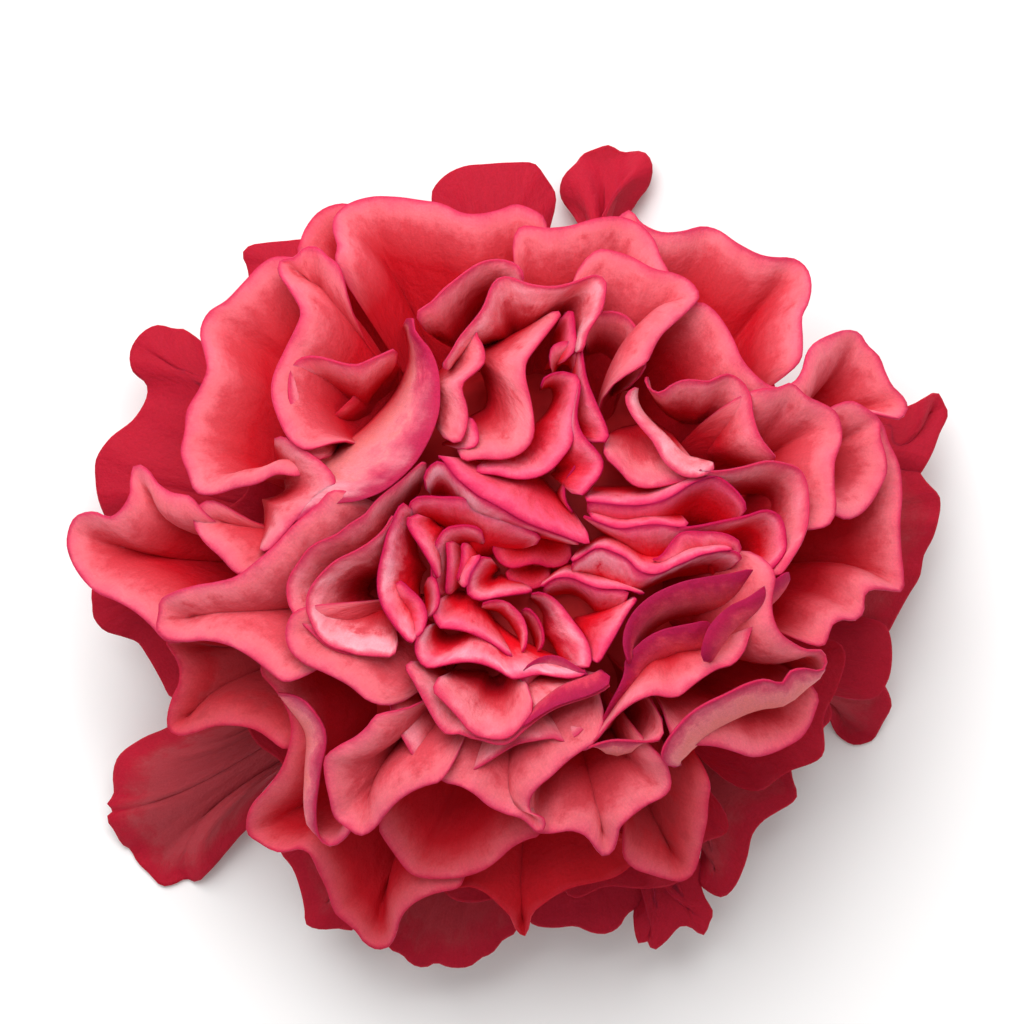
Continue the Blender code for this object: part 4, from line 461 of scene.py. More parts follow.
        (16.8, 23, -1), (15.4, 21.4), (15.2, 20.4), (16, 18.4), (17.5, 16.4), (18.7, 15), (19.5, 13.5),
        (20.3, 12.2), (21.6, 11), (23, 10.3), (24.5, 10.2), (26.3, 10.6), (28, 10.8, -1))),
    ("right_heart", "fold", dict(into=(26, 2), wide=(1, 3, 5, 6, 7, 6, 4), drop=10, lift=(2,), lip=(20,), shade_below=0.4), (
        (22.5, 12, -1), (24.5, 11.2), (26.5, 11), (28.3, 11.1), (31, 11.6), (34, 12.3), (36.3, 12),
        (38.2, 11.3), (39.1, 9.8), (39.4, 7), (39.3, 4.5), (38.5, 2), (37.2, -0.2), (35.3, -2.8),
        (33.5, -3.9, -1))),
    ("right_heart_back", "heart", dict(into=(40, -16), wide=(1.5, 2.4, 2.6, 2.6, 1.5), drop=2.5, lift=(2,),
                                       lip=(0,), outer=True, pale_and_highlight=(0,), edge=(0.8,), shade_below=0.2), (
        (37, -0.8, -1), (35.3, -2.8), (33.5, -3.9), (31, -5.6), (29, -6.5), (27.5, -7.7), (26, -9.5),
        (25.2, -11.8), (24.6, -14.6, -1))),
    ("heart_dark", "heart", dict(into=(30, -17), wide=(3, 5, 5, 4.6, 4, 3.2, 2, 1), drop=8, lift=(1,),
                                 lip=(0,), outer=True, pale_and_highlight=(0,), edge=(0.8,), shade_below=0.2), (
        (33.6, -1, -1), (31, -1.8), (29, -2.3), (27, -2.6), (25, -2.9), (23, -3.3), (21, -4),
        (19.3, -4.8), (17.8, -5.8), (16.3, -7.3), (15.3, -9), (14.9, -10.5), (14.9, -12), (15.2, -13.5),
        (15, -15.2, -1))),
    ("heart_dark_low", "heart", dict(into=(28, -19), wide=(4.4, 5, 5, 4, 2, 1.5), drop=8, lift=(-1,),
                                     lip=(5,), outer=True, pale_and_highlight=(0,), edge=(0.8,), shade_below=0.2), (
        (27.5, -7.6, -1), (25, -8.6), (22.5, -9.1), (20, -9.7), (18, -10.7), (16.5, -12), (15.2, -13.6),
        (15, -15.5), (14.3, -17.2), (13.2, -19.2), (12.1, -21.6), (11.2, -24.2, -1))),
    ("right_face", "fold", dict(into=(19, -8), wide=(3, 4, 5, 7, 7, 6, 4), drop=9, lift=(1,), lip=(20,), shade_below=0.8, pale_and_highlight=(0.3,)), (
        (36, -1, -2), (33.3, -5.5), (32.4, -8), (31.5, -10.5), (30.8, -12.5), (29.3, -14.2),
        (27.5, -14.7), (25.5, -15.9), (24, -17), (22.2, -18.4), (20.8, -18.5), (19, -18.2), (17, -18.8),
        (15, -20), (13, -21.9), (11.3, -24), (9, -26, -2))),
    ("low_shell", "fold", dict(into=(0, -12), wide=(3, 6, 9, 10, 9, 7, 4), drop=11, lift=(0,), lip=(15,), shade_below=0.3, pale_and_highlight=(0.7,)), (
        (-20, -13, -2), (-17.3, -16.8), (-15.8, -19), (-14.9, -22), (-13.5, -24.7), (-11.8, -27.4),
        (-10.3, -28.7), (-8.2, -29.5), (-6, -28.8), (-3.5, -27.4), (-1, -25.8), (1, -24.7), (3.5, -24.2),
        (6, -23.9), (7.4, -24.4), (9.5, -23), (12, -20, -2))),
)


def linear(code):
    """An sRGB hex colour as linear red, green, blue and alpha."""
    channels = [int(code[k : k + 2], 16) / 255 for k in (1, 3, 5)]
    return (*(c / 12.92 if c <= 0.04045 else ((c + 0.055) / 1.055) ** 2.4 for c in channels), 1.0)


class RoseSizes(bpy.types.PropertyGroup):
    """The sizes and colours of the bloom that a user would change."""

    thickness: FloatProperty(
        name="Petal thickness", description="Thickness of a petal", default=0.0003, min=0.0001, max=0.001,
        unit="LENGTH")
    column: FloatProperty(
        name="Column width", description="Width of a face along a petal's rim", default=0.0009, min=0.0004,
        max=0.004, unit="LENGTH")
    rows: IntProperty(
        name="Rows", description="Faces from a petal's foot to its rim", default=18, min=6, max=40)
    face: FloatVectorProperty(
        name="Face", description="Colour of a petal's face", subtype="COLOR", size=4, min=0, max=1,
        default=linear("#cc4854"))
    # The lip colour is partly the petal's own paler edge and partly a painted highlight.
    lip: FloatVectorProperty(
        name="Lip", description="Colour of a petal's pale lip", subtype="COLOR", size=4, min=0, max=1,
        default=linear("#f8a4b0"))
    picotee: FloatVectorProperty(
        name="Picotee", description="Colour of a petal's magenta edge", subtype="COLOR", size=4, min=0, max=1,
        default=linear("#d03c60"))
    # The depth colour is partly deeper pigment at the foot and partly painted shade in the hollows.
    depth: FloatVectorProperty(
        name="Depth", description="Colour of a petal towards its foot", subtype="COLOR", size=4, min=0, max=1,
        default=linear("#bc1422"))
    back: FloatVectorProperty(
        name="Back", description="Colour of a petal's back", subtype="COLOR", size=4, min=0, max=1,
        default=linear("#e0747c"))
    guard: FloatVectorProperty(
        name="Guard", description="Colour of the guard petals", subtype="COLOR", size=4, min=0, max=1,
        default=linear("#c8144c"))


def under_petals():
    """The petals that the bloom hides, between the guard petals and the core, by a rule round the stem."""
    made = []
    for k in range(UNDER_PETALS):
        middle = math.tau * (k + 0.3) / UNDER_PETALS
        rim = []
        for step in range(UNDER_POINTS):
            part = 2 * step / (UNDER_POINTS - 1) - 1
            turn = middle + part * UNDER_SPREAD / 2
            radius = UNDER_RADIUS * (1 - 0.1 * part**2) + UNDER_WAVE * math.sin(2.3 * step + 1.7 * k)
            high = UNDER_WAVE * math.cos(2 * step + k)
            rim.append((STEM[0] + radius * math.cos(turn), STEM[1] + radius * math.sin(turn), high))
        made.append((f"under_{k}", "under", {}, tuple(rim)))
    return tuple(made)


def radius_part(x, y):
    """How far out a point is, from 0 at the heart to 1 at the outline, by circles that shift between."""
    qx, qy = x - HEART[0], y - HEART[1]
    across = qx * HEART[0] + qy * HEART[1]
    scale = BLOOM_RADIUS**2 - HEART[0] ** 2 - HEART[1] ** 2
    return (across + np.sqrt(across**2 + scale * (qx**2 + qy**2))) / scale


def curve_through(points, count):
    """Evenly spaced samples of a smooth curve through the points."""
    points = np.asarray(points, float)
    steps = np.sqrt(np.linalg.norm(np.diff(points[:, :2], axis=0), axis=1))
    knots = np.concatenate([[0.0], np.cumsum(steps)])
    slopes = np.gradient(points, knots, axis=0)
    dense = np.linspace(0.0, knots[-1], 40 * len(points))
    at = np.clip(np.searchsorted(knots, dense, side="right") - 1, 0, len(points) - 2)
    span = (knots[at + 1] - knots[at])[:, None]
    t = (dense - knots[at])[:, None] / span
    curve = ((1 + 2 * t) * (1 - t) ** 2 * points[at] + t * (1 - t) ** 2 * span * slopes[at]
             + t * t * (3 - 2 * t) * points[at + 1] + t * t * (t - 1) * span * slopes[at + 1])
    length = np.concatenate([[0.0], np.cumsum(np.linalg.norm(np.diff(curve[:, :2], axis=0), axis=1))])
    wanted = np.linspace(0.0, length[-1], count)
    return np.stack([np.interp(wanted, length, curve[:, k]) for k in range(3)], axis=1)


def smoothed(curve, width):
    """The curve with its waves taken out over a part of its length."""
    at = np.linspace(0.0, 1.0, len(curve))
    weights = np.exp(-0.5 * ((at[:, None] - at[None, :]) / width) ** 2)
    return weights @ curve / weights.sum(axis=1, keepdims=True)


def spread(values, count):
    return np.interp(np.linspace(0, 1, count), np.linspace(0, 1, len(values)), values)


def waves(along, seed, length):
    """Gentle waves of no fixed beat along the rim, from -1 to 1."""
    turn = along * math.tau / length
    return (np.sin(turn + seed) + 0.6 * np.sin(1.73 * turn + 2.1 * seed) + 0.4 * np.sin(0.61 * turn + seed**2)) / 2


def petal_sheet(whorl, own, rim, sizes, seed):
    """The petal's face: points from foot to rim, each one's length along and below the rim, and its paint."""
    grow = {**SHAPE, **WHORLS[whorl], **own}
    points = [(p[0], p[1], p[2] if len(p) > 2 else 0.0) for p in rim]
    fine = curve_through(points, SAMPLES)
    part = radius_part(fine[:, 0], fine[:, 1])
    over_dome = np.interp(part, DOME_AT, DOME_Z) + spread(grow["lift"], SAMPLES)
    fine[:, 2] += np.minimum(over_dome, spread(grow["most"], SAMPLES))
    soft, base = smoothed(fine, SMOOTH_RIM), smoothed(fine, SMOOTH_FOOT)
    along = np.gradient(soft[:, :2], axis=0)
    side = np.stack([along[:, 1], -along[:, 0]], axis=1)
    side /= np.linalg.norm(side, axis=1, keepdims=True) + 1e-9
    foot = np.array(STEM) + grow.get("foot", 1.0) * (base[:, :2] - STEM)
    if "into" in grow:
        way = np.array(grow["into"]) - soft[:, :2]
        far = np.linalg.norm(way, axis=1, keepdims=True)
        foot = soft[:, :2] + way / far * np.minimum(spread(grow["wide"], SAMPLES)[:, None], 0.9 * far)
    if ((fine[:, :2] - foot) * side).sum() < 0:
        side = -side
    p3 = fine
    low = grow.get("foot_z", np.interp(part.mean(), FOOT_AT, FOOT_Z))
    p0 = np.column_stack([foot, np.full(SAMPLES, low)])
    long = np.linalg.norm(p3 - p0, axis=1)[:, None]
    out = base[:, :2] - foot
    out = out / (np.linalg.norm(out, axis=1, keepdims=True) + 1.0)
    slope = math.radians(grow.get("slope", np.interp(part.mean(), FOOT_AT, FOOT_SLOPE)))
    p1 = p0 + grow["reach"][0] * long * np.column_stack([out * math.cos(slope), np.full(SAMPLES, math.sin(slope))])
    lip = np.radians(spread(grow["lip"], SAMPLES))[:, None]
    back = grow["reach"][1] * long
    p2 = 0.5 * (fine + soft) - back * np.hstack([side * np.cos(lip), np.sin(lip)])
    belly = spread(grow["belly"], SAMPLES)[:, None]
    full = np.clip(belly / 2.0, 0.0, 1.0)
    high = (p3 - p0)[:, 2:]
    bulge1 = soft + np.hstack([side * belly * 1.2, -0.8 * high])
    bulge2 = soft + np.hstack([side * belly * 1.7, -0.3 * high])
    p1 = p1 + full * (bulge1 - p1)
    p2 = p2 + full * (bulge2 - p2)
    if "into" in grow:
        p0 = np.column_stack([foot, soft[:, 2] - grow["drop"]])
        p1 = p0 + np.hstack([0.15 * (soft[:, :2] - foot), np.full((SAMPLES, 1), 0.5 * grow["drop"])])
        half = 0.5 * (foot - soft[:, :2])
        p2 = 0.5 * (fine + soft) + np.hstack([half, -np.tan(lip) * np.linalg.norm(half, axis=1, keepdims=True)])
        side = -half / np.linalg.norm(half, axis=1, keepdims=True)
    length = np.linalg.norm(np.diff(fine[:, :2], axis=0), axis=1).sum()
    columns = max(12, round(length * MM / sizes.column))
    pick = np.linspace(0, SAMPLES - 1, columns + 1).round().astype(int)
    run = pick / (SAMPLES - 1) * length
    flank, part_left = grow["flank"]
    end = np.clip(np.minimum(run, length - run) / flank, 0.0, 1.0)
    top = part_left + (1 - part_left) * np.sqrt(1 - (1 - end) ** 2)
    top = np.maximum(top, 0.02)
    rise = 1 - (1 - np.linspace(0.0, 1.0, sizes.rows + 1)) ** 1.5
    t = (top[:, None] * rise[None, :])[:, :, None]
    p0, p1, p2, p3 = (p[pick][:, None, :] for p in (p0, p1, p2, p3))
    sheet = (1 - t) ** 3 * p0 + 3 * t * (1 - t) ** 2 * p1 + 3 * t * t * (1 - t) * p2 + t**3 * p3
    steps = np.linalg.norm(np.diff(sheet, axis=1), axis=2)
    below = np.concatenate([np.cumsum(steps[:, ::-1], axis=1)[:, ::-1], np.zeros((columns + 1, 1))], axis=1)
    curl = spread(grow["curl"], columns + 1)[:, None] * end[:, None]
    sheet[:, :, 2] -= curl * np.exp(-((below / 1.6) ** 1.3))
    ripple = waves(run, seed, 6.5)[:, None] * np.exp(-below / 5.0) * end[:, None]
    sheet[:, :, 2] += grow["ruffle"] * ripple
    sheet[:, :, 2] += 0.25 * waves(run, seed + 3.0, 9.0)[:, None] * np.minimum(1.0, below / 8.0) * end[:, None]
    sheet[:, :, 2] = np.maximum(sheet[:, :, 2], sizes.thickness / MM)
    over = np.interp(radius_part(sheet[:, :, 0], sheet[:, :, 1]), DOME_AT, DOME_Z) - sheet[:, :, 2]
    rims = np.cross(np.gradient(soft, axis=0)[pick], (p3 - p0)[:, 0])
    turned_in = ((rims[:, :2] * side[pick]).sum() > 0) != grow["outer"]
    run = np.broadcast_to(run[:, None], below.shape)
    paint = {name: np.broadcast_to(spread(grow[name], columns + 1)[:, None], below.shape)
             for name in ("tone", "pale_and_highlight", "edge")}
    # How far the colour deepens into painted shade: the depth under the dome, and the length below the rim by each
    # whorl's or petal's share.
    paint["sunk_shade"] = over + grow["shade_below"] * below
    return sheet, run, below, paint, turned_in


def petals_piece(name, whorls, sizes, coats):
    """One object that holds every petal of the whorls, each a grid laid on its sheet and given its thickness."""
    grown = [entry for entry in PETALS + under_petals() if entry[1] in whorls]
    sheets = [petal_sheet(whorl, own, rim, sizes, 1.3 * k + 0.7) for k, (_, whorl, own, rim) in enumerate(grown)]
    bm = bmesh.new()
    for k, (sheet, _, _, _, turned_in) in enumerate(sheets):
        made = bmesh.ops.create_grid(bm, x_segments=sheet.shape[0] - 1, y_segments=sheet.shape[1] - 1, size=1.0,
                                     matrix=Matrix.Translation((0, 0, k)))
        if turned_in:
            faces = {face for vert in made["verts"] for face in vert.link_faces}
            bmesh.ops.reverse_faces(bm, faces=list(faces))
    mesh = bpy.data.meshes.new(name)
    bm.to_mesh(mesh)
    bm.free()
    at = np.empty(3 * len(mesh.vertices), np.float32)
    mesh.vertices.foreach_get("co", at)
    at = at.reshape(-1, 3)
    which = at[:, 2].round().astype(int)
    place, run, below = np.empty_like(at), np.empty(len(at)), np.empty(len(at))
    paint = {key: np.empty(len(at), np.float32) for key in sheets[0][3]}
    for k, (sheet, sheet_run, sheet_below, sheet_paint, _) in enumerate(sheets):
        mine = which == k
        i = ((at[mine, 0] + 1) / 2 * (sheet.shape[0] - 1)).round().astype(int)
        j = ((at[mine, 1] + 1) / 2 * (sheet.shape[1] - 1)).round().astype(int)
        place[mine] = sheet[i, j] * MM
        run[mine], below[mine] = sheet_run[i, j], sheet_below[i, j]
        for key in paint:
            paint[key][mine] = sheet_paint[key][i, j]
    mesh.vertices.foreach_set("co", place.reshape(-1))
    corners = np.empty(len(mesh.loops), np.int32)
    mesh.loops.foreach_get("vertex_index", corners)
    uv = np.column_stack([run + 80.0 * which, below])[corners] / 10
    mesh.uv_layers.new(name="petal").data.foreach_set("uv", uv.astype(np.float32).reshape(-1))
    for key, values in paint.items():
        mesh.attributes.new(key, "FLOAT", "POINT").data.foreach_set("value", values)
    mesh.polygons.foreach_set("use_smooth", [True] * len(mesh.polygons))
    mesh.update()
    for coat in coats:
        mesh.materials.append(coat)
    piece = bpy.data.objects.new(name, mesh)
    bpy.context.scene.collection.objects.link(piece)
    thick = piece.modifiers.new("Thickness", "SOLIDIFY")
    thick.thickness = sizes.thickness
    thick.offset = -1.0
    thick.material_offset = 1
    return piece


def turned(profile):
    """A closed solid turned about the stem's line, from (radius, height) pairs."""
    bm = bmesh.new()
    points = [bm.verts.new((STEM[0] + r, STEM[1], z)) for r, z in profile]
    edges = [bm.edges.new(pair) for pair in zip(points, points[1:])]
    bmesh.ops.spin(bm, geom=points + edges, cent=(*STEM, 0), axis=(0, 0, 1), angle=math.tau, steps=96,
                   use_merge=True)
    bmesh.ops.remove_doubles(bm, verts=bm.verts, dist=MM)
    bmesh.ops.recalc_face_normals(bm, faces=bm.faces)
    return bm


def piece_of(bm, name, coats):
    """The bmesh, in millimetres, as a smooth object at the origin."""
    bmesh.ops.scale(bm, vec=(MM, MM, MM), verts=bm.verts)
    mesh = bpy.data.meshes.new(name)
    bm.to_mesh(mesh)
    bm.free()
    mesh.shade_smooth()
    for coat in coats:
        mesh.materials.append(coat)
    piece = bpy.data.objects.new(name, mesh)
    bpy.context.scene.collection.objects.link(piece)
    return piece


def node(tree, kind, inputs=None, **settings):
    """Adds a node with its settings, and gives its inputs their values or links."""
    made = tree.nodes.new(kind)
    for name, value in settings.items():
        setattr(made, name, value)
    for socket, value in (inputs or {}).items():
        if isinstance(value, bpy.types.NodeSocket):
            tree.links.new(value, made.inputs[socket])
        else:
            made.inputs[socket].default_value = value
    return made


def stops(ramp, pairs):
    """Sets a colour ramp's stops from (position, colour) pairs."""
    elements = ramp.color_ramp.elements
    while len(elements) > 1:
        elements.remove(elements[-1])
    elements[0].position, elements[0].color = pairs[0]
    for position, colour in pairs[1:]:
        elements.new(position).color = colour
    return ramp.outputs["Color"]


def material(name):
    made = bpy.data.materials.new(name)
    made.use_nodes = True
    return made, made.node_tree, made.node_tree.nodes["Principled BSDF"]


def mixed(tree, factor, first, second, blend="MIX"):
    """The second colour over the first by the factor."""
    made = node(tree, "ShaderNodeMix", {0: factor, 6: first, 7: second}, data_type="RGBA", blend_type=blend)
    return made.outputs[2]


def petal_coat(name, across, lip, deep, dull, grain):
    """Fresh petal tissue: thin and moist, so light glows through it, with a colour that changes across the
    petal in bands, faint veins and a velvety skin without shine. across is the bands' colours by
    millimetres from the rim, lip the pale colour inside the edge, partly the petal's own paler edge and partly
    a painted highlight, deep the colour towards the foot and down in the hollows, partly deeper pigment and
    partly painted shade, dull the duller colour that tone mixes in away from the rim, and grain how strongly
    the mottling shows."""
    made, tree, shader = material(name)
    uv = node(tree, "ShaderNodeUVMap", uv_map="petal").outputs["UV"]
    place = node(tree, "ShaderNodeSeparateXYZ", {0: uv})
    tone, pale_and_highlight, edge, sunk_shade = (node(tree, "ShaderNodeAttribute", attribute_name=key).outputs["Fac"]
                              for key in ("tone", "pale_and_highlight", "edge", "sunk_shade"))
    # Blotches about 3 mm wide shift the bands, so that no edge is ruled.
    blotch = node(tree, "ShaderNodeTexNoise", {"Vector": uv, "Scale": 3.2, "Detail": 4.0, "Roughness": 0.65})
    shift = node(tree, "ShaderNodeMapRange", {"Value": blotch.outputs["Fac"], "From Min": 0.3, "From Max": 0.7,
                                              "To Min": 0.5, "To Max": 1.8})
    wide = node(tree, "ShaderNodeMath", {0: shift.outputs[0], 1: edge}, operation="MULTIPLY")
    down = node(tree, "ShaderNodeMath", {0: place.outputs["Y"], 1: wide.outputs[0]}, operation="DIVIDE")
    scaled = node(tree, "ShaderNodeMath", {0: down.outputs[0], 1: 10 / BAND_MM}, operation="MULTIPLY")
    ramp = node(tree, "ShaderNodeValToRGB", {"Fac": scaled.outputs[0]})
    colour = stops(ramp, [(mm / BAND_MM, paint) for mm, paint in across])
    # The pale part of the lip lies inside the edge, in patches: partly the petal's own paler edge and partly a painted
    # highlight where the lip catches the light.
    patch = node(tree, "ShaderNodeTexNoise", {"Vector": uv, "Scale": 1.3, "Detail": 3.0, "Roughness": 0.6})
    patchy = node(tree, "ShaderNodeMapRange", {"Value": patch.outputs["Fac"], "From Min": 0.35, "From Max": 0.6})
    lip_ramp = node(tree, "ShaderNodeValToRGB", {"Fac": scaled.outputs[0]})
    inside = stops(lip_ramp, [(mm / BAND_MM, (grey, grey, grey, 1.0)) for mm, grey in LIP_BAND])
    lit = node(tree, "ShaderNodeMath", {0: inside, 1: patchy.outputs[0]}, operation="MULTIPLY")
    lit = node(tree, "ShaderNodeMath", {0: lit.outputs[0], 1: pale_and_highlight}, operation="MULTIPLY")
    colour = mixed(tree, lit.outputs[0], colour, lip)
    # The colour deepens where the sheet lies under the dome and far below its rim: painted shade of the hollows, over a
    # little real deepening of the pigment towards the foot.
    foot = node(tree, "ShaderNodeMapRange", {"Value": sunk_shade, "From Min": 2.0, "From Max": 9.0})
    colour = mixed(tree, foot.outputs[0], colour, deep)
    # Where tone is set, the colour turns duller from 2.5 mm inside the rim.
    inner = node(tree, "ShaderNodeMapRange", {"Value": scaled.outputs[0], "From Min": 2.5 / BAND_MM,
                                              "From Max": 8.0 / BAND_MM})
    dulled = node(tree, "ShaderNodeMath", {0: tone, 1: inner.outputs[0]}, operation="MULTIPLY")
    colour = mixed(tree, dulled.outputs[0], colour, dull)
    # Faint veins run from foot to rim 0.5 mm apart, and mottling of 0.3 mm, like crepe, lies over them.
    stretched = node(tree, "ShaderNodeMapping", {"Vector": uv, "Scale": (18.0, 3.0, 1.0)})
    veins = node(tree, "ShaderNodeTexNoise", {"Vector": stretched.outputs[0], "Scale": 1.0, "Detail": 3.0,
                                              "Roughness": 0.6, "Distortion": 1.2})
    mottle = node(tree, "ShaderNodeTexNoise", {"Vector": uv, "Scale": 32.0, "Detail": 5.0, "Roughness": 0.75})
    faint = node(tree, "ShaderNodeMath", {0: veins.outputs["Fac"], 1: 0.4, 2: mottle.outputs["Fac"]},
                 operation="MULTIPLY_ADD")
    shade = node(tree, "ShaderNodeMapRange", {"Value": faint.outputs[0], "From Min": 0.4, "From Max": 1.0,
                                              "To Min": 1.0 - grain, "To Max": 1.0 + grain})
    value = node(tree, "ShaderNodeHueSaturation", {"Color": colour, "Value": shade.outputs[0]})
    tree.links.new(value.outputs[0], shader.inputs["Base Color"])
    crepe = node(tree, "ShaderNodeTexNoise", {"Vector": uv, "Scale": 5.0, "Detail": 4.0, "Roughness": 0.6})
    bump = node(tree, "ShaderNodeBump", {"Height": faint.outputs[0], "Strength": 0.2, "Distance": 0.0003})
    bump = node(tree, "ShaderNodeBump", {"Height": crepe.outputs["Fac"], "Strength": 0.5, "Distance": 0.0006,
                                         "Normal": bump.outputs[0]})
    tree.links.new(bump.outputs[0], shader.inputs["Normal"])
    shader.inputs["Roughness"].default_value = 0.6
    shader.inputs["IOR"].default_value = 1.4
    shader.inputs["Subsurface Weight"].default_value = 0.6
    shader.inputs["Subsurface Radius"].default_value = (0.5, 0.2, 0.2)
    shader.inputs["Subsurface Scale"].default_value = 0.0012
    shader.inputs["Specular IOR Level"].default_value = 0.12
    return made


# The petal's bands are painted over this length below the rim, and how pale the lip is across it, partly its own paler
# edge and partly a painted highlight.
BAND_MM = 14.0
LIP_BAND = ((0.0, 0.0), (0.4, 0.1), (1.2, 1.0), (2.6, 0.8), (5.0, 0.0))


def face_coat(sizes):
    bands = ((0.0, linear("#c42850")), (0.3, sizes.picotee[:]), (1.0, linear("#e05a70")), (2.6, linear("#e06672")),
             (7.0, sizes.face[:]))
    return petal_coat("salmon petal face", bands, sizes.lip[:], sizes.depth[:], linear("#a8444c"), 0.16)


def back_coat(sizes):
    bands = ((0.0, linear("#b81c4c")), (1.0, linear("#b4204c")), (2.2, linear("#cc4460")), (4.0, sizes.back[:]),
             (8.0, linear("#e07474")))
    return petal_coat("salmon petal back", bands, linear("#fcb4bc"), linear("#c01c2c"), linear("#a04a54"), 0.2)


def heart_coats(sizes):
    bands = ((0.0, linear("#b81048")), (0.35, linear("#d83060")), (1.0, linear("#ec5074")), (2.4, linear("#dc4058")),
             (6.0, linear("#cc2c42")))
    face = petal_coat("crimson heart petal face", bands, linear("#f8a0b0"), linear("#dc1020"), linear("#a8444c"), 0.16)
    bands = ((0.0, linear("#a41448")), (1.0, linear("#ac1a46")), (2.5, linear("#c83a54")), (6.0, linear("#d85060")))
    back = petal_coat("crimson heart petal back", bands, linear("#f8a0b4"), linear("#d01828"), linear("#a04a54"), 0.2)
    return face, back


def guard_coat(sizes):
    bands = ((0.0, linear("#90083c")), (1.0, linear("#ac0c44")), (3.5, sizes.guard[:]), (9.0, linear("#d83c64")),
             (13.0, linear("#d45874")))
    return petal_coat("crimson guard petal", bands, linear("#e04870"), linear("#b01830"), linear("#a84a50"), 0.2)


def calyx_coat():
    """Green plant skin, matt and a little hairy: darker blotches and fine ridges along the sepals."""
    made, tree, shader = material("green sepal skin")
    place = node(tree, "ShaderNodeTexCoord").outputs["Object"]
    blotch = node(tree, "ShaderNodeTexNoise", {"Vector": place, "Scale": 260.0, "Detail": 4.0})
    fine = node(tree, "ShaderNodeTexNoise", {"Vector": place, "Scale": 2200.0, "Detail": 2.0})
    ramp = node(tree, "ShaderNodeValToRGB", {"Fac": blotch.outputs["Fac"]})
    colour = stops(ramp, [(0.3, linear("#4a5f2a")), (0.5, linear("#62793a")), (0.7, linear("#7d8f4e"))])
    tree.links.new(colour, shader.inputs["Base Color"])
    bump = node(tree, "ShaderNodeBump", {"Height": fine.outputs["Fac"], "Strength": 0.4, "Distance": 0.0002})
    tree.links.new(bump.outputs[0], shader.inputs["Normal"])
    shader.inputs["Roughness"].default_value = 0.6
    return made


def core_coat():
    """The petals' bases, packed together: deep red, unlit between the petals."""
    made, tree, shader = material("packed petal bases")
    place = node(tree, "ShaderNodeTexCoord").outputs["Object"]
    blotch = node(tree, "ShaderNodeTexNoise", {"Vector": place, "Scale": 400.0, "Detail": 4.0})
    ramp = node(tree, "ShaderNodeValToRGB", {"Fac": blotch.outputs["Fac"]})
    colour = stops(ramp, [(0.3, linear("#c00814")), (0.7, linear("#d81824"))])
    tree.links.new(colour, shader.inputs["Base Color"])
    shader.inputs["Roughness"].default_value = 0.7
    return made


def finished(piece, slot, *nodes):
    """Puts the piece on the bloom's body, in place of its solids. slot is not used."""
    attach(piece, BODY)
    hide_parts(*nodes)


class ROSE_OT_guards(bpy.types.Operator):
    """Grows the crimson guard petals and the hidden tier above them"""

    bl_idname = "rose.guards"
    bl_label = "Guard petals"

    def execute(self, context):
        sizes = context.scene.rose_sizes
        coat = guard_coat(sizes)
        finished(petals_piece("guard_whorl", ("guard", "under"), sizes, (coat, coat)), "crimson_petal", "guard_petals")
        disc = piece_of(turned(GUARD_CORE), "guard_disc", (core_coat(),))
        finished(disc, "crimson_petal", "guard_petals")
        return {"FINISHED"}


class ROSE_OT_outer(bpy.types.Operator):
    """Grows the outer salmon petals and the core that they stand on"""

    bl_idname = "rose.outer"
    bl_label = "Outer petals"

    def execute(self, context):
        sizes = context.scene.rose_sizes
        coats = (face_coat(sizes), back_coat(sizes))
        finished(petals_piece("outer_whorl", ("outer",), sizes, coats), "salmon_petal", "petals")
        core = piece_of(turned(CORE), "petal_core", (core_coat(),))
        finished(core, "salmon_petal", "petals")
        return {"FINISHED"}


class ROSE_OT_heart(bpy.types.Operator):
    """Grows the inner petals and the crinkled heart"""

    bl_idname = "rose.heart"
    bl_label = "Inner petals and heart"

    def execute(self, context):
        sizes = context.scene.rose_sizes
        coats = (bpy.data.materials["salmon petal face"], bpy.data.materials["salmon petal back"])
        finished(petals_piece("inner_whorl", ("fold",), sizes, coats), "salmon_petal", "petals")
        coats = heart_coats(sizes)
        finished(petals_piece("heart_whorl", ("heart",), sizes, coats), "salmon_petal", "petals")
        return {"FINISHED"}


class ROSE_OT_calyx(bpy.types.Operator):
    """Shapes the hip on its stub of stem and its reflexed sepals"""

    bl_idname = "rose.calyx"
    bl_label = "Calyx"

    def execute(self, context):
        coat = calyx_coat()
        finished(piece_of(turned(HIP), "hip", (coat,)), "green_calyx", "calyx")
        bm = bmesh.new()
        across, along = 8, 40
        steps = np.linspace(0, 1, len(RIDGE))
        for k in range(SEPALS):
            made = bmesh.ops.create_grid(bm, x_segments=across, y_segments=along, size=1.0)["verts"]
            for vert in made:
                side, part = vert.co.x, (vert.co.y + 1) / 2
                taper = np.interp(part, steps, SEPAL_TAPER) * (1 + 0.05 * math.sin(30 * part + k))
                out = np.interp(part, steps, [r for r, _ in RIDGE])
                high = np.interp(part, steps, [z for _, z in RIDGE]) + KEEL * abs(side) ** 1.4 * taper
                vert.co = (out, side * SEPAL_WIDTH / 2 * taper, high)
            turn = Matrix.Rotation(math.tau * (k + 0.25) / SEPALS, 3, "Z")
            bmesh.ops.rotate(bm, verts=made, cent=(0, 0, 0), matrix=turn)
        bmesh.ops.translate(bm, vec=(*STEM, 0), verts=bm.verts)
        bmesh.ops.recalc_face_normals(bm, faces=bm.faces)
        sepals = piece_of(bm, "sepals", (coat,))
        thick = sepals.modifiers.new("Thickness", "SOLIDIFY")
        thick.thickness = SEPAL_THICKNESS * MM
        thick.offset = 0.0
        finished(sepals, "green_calyx", "calyx")
        return {"FINISHED"}


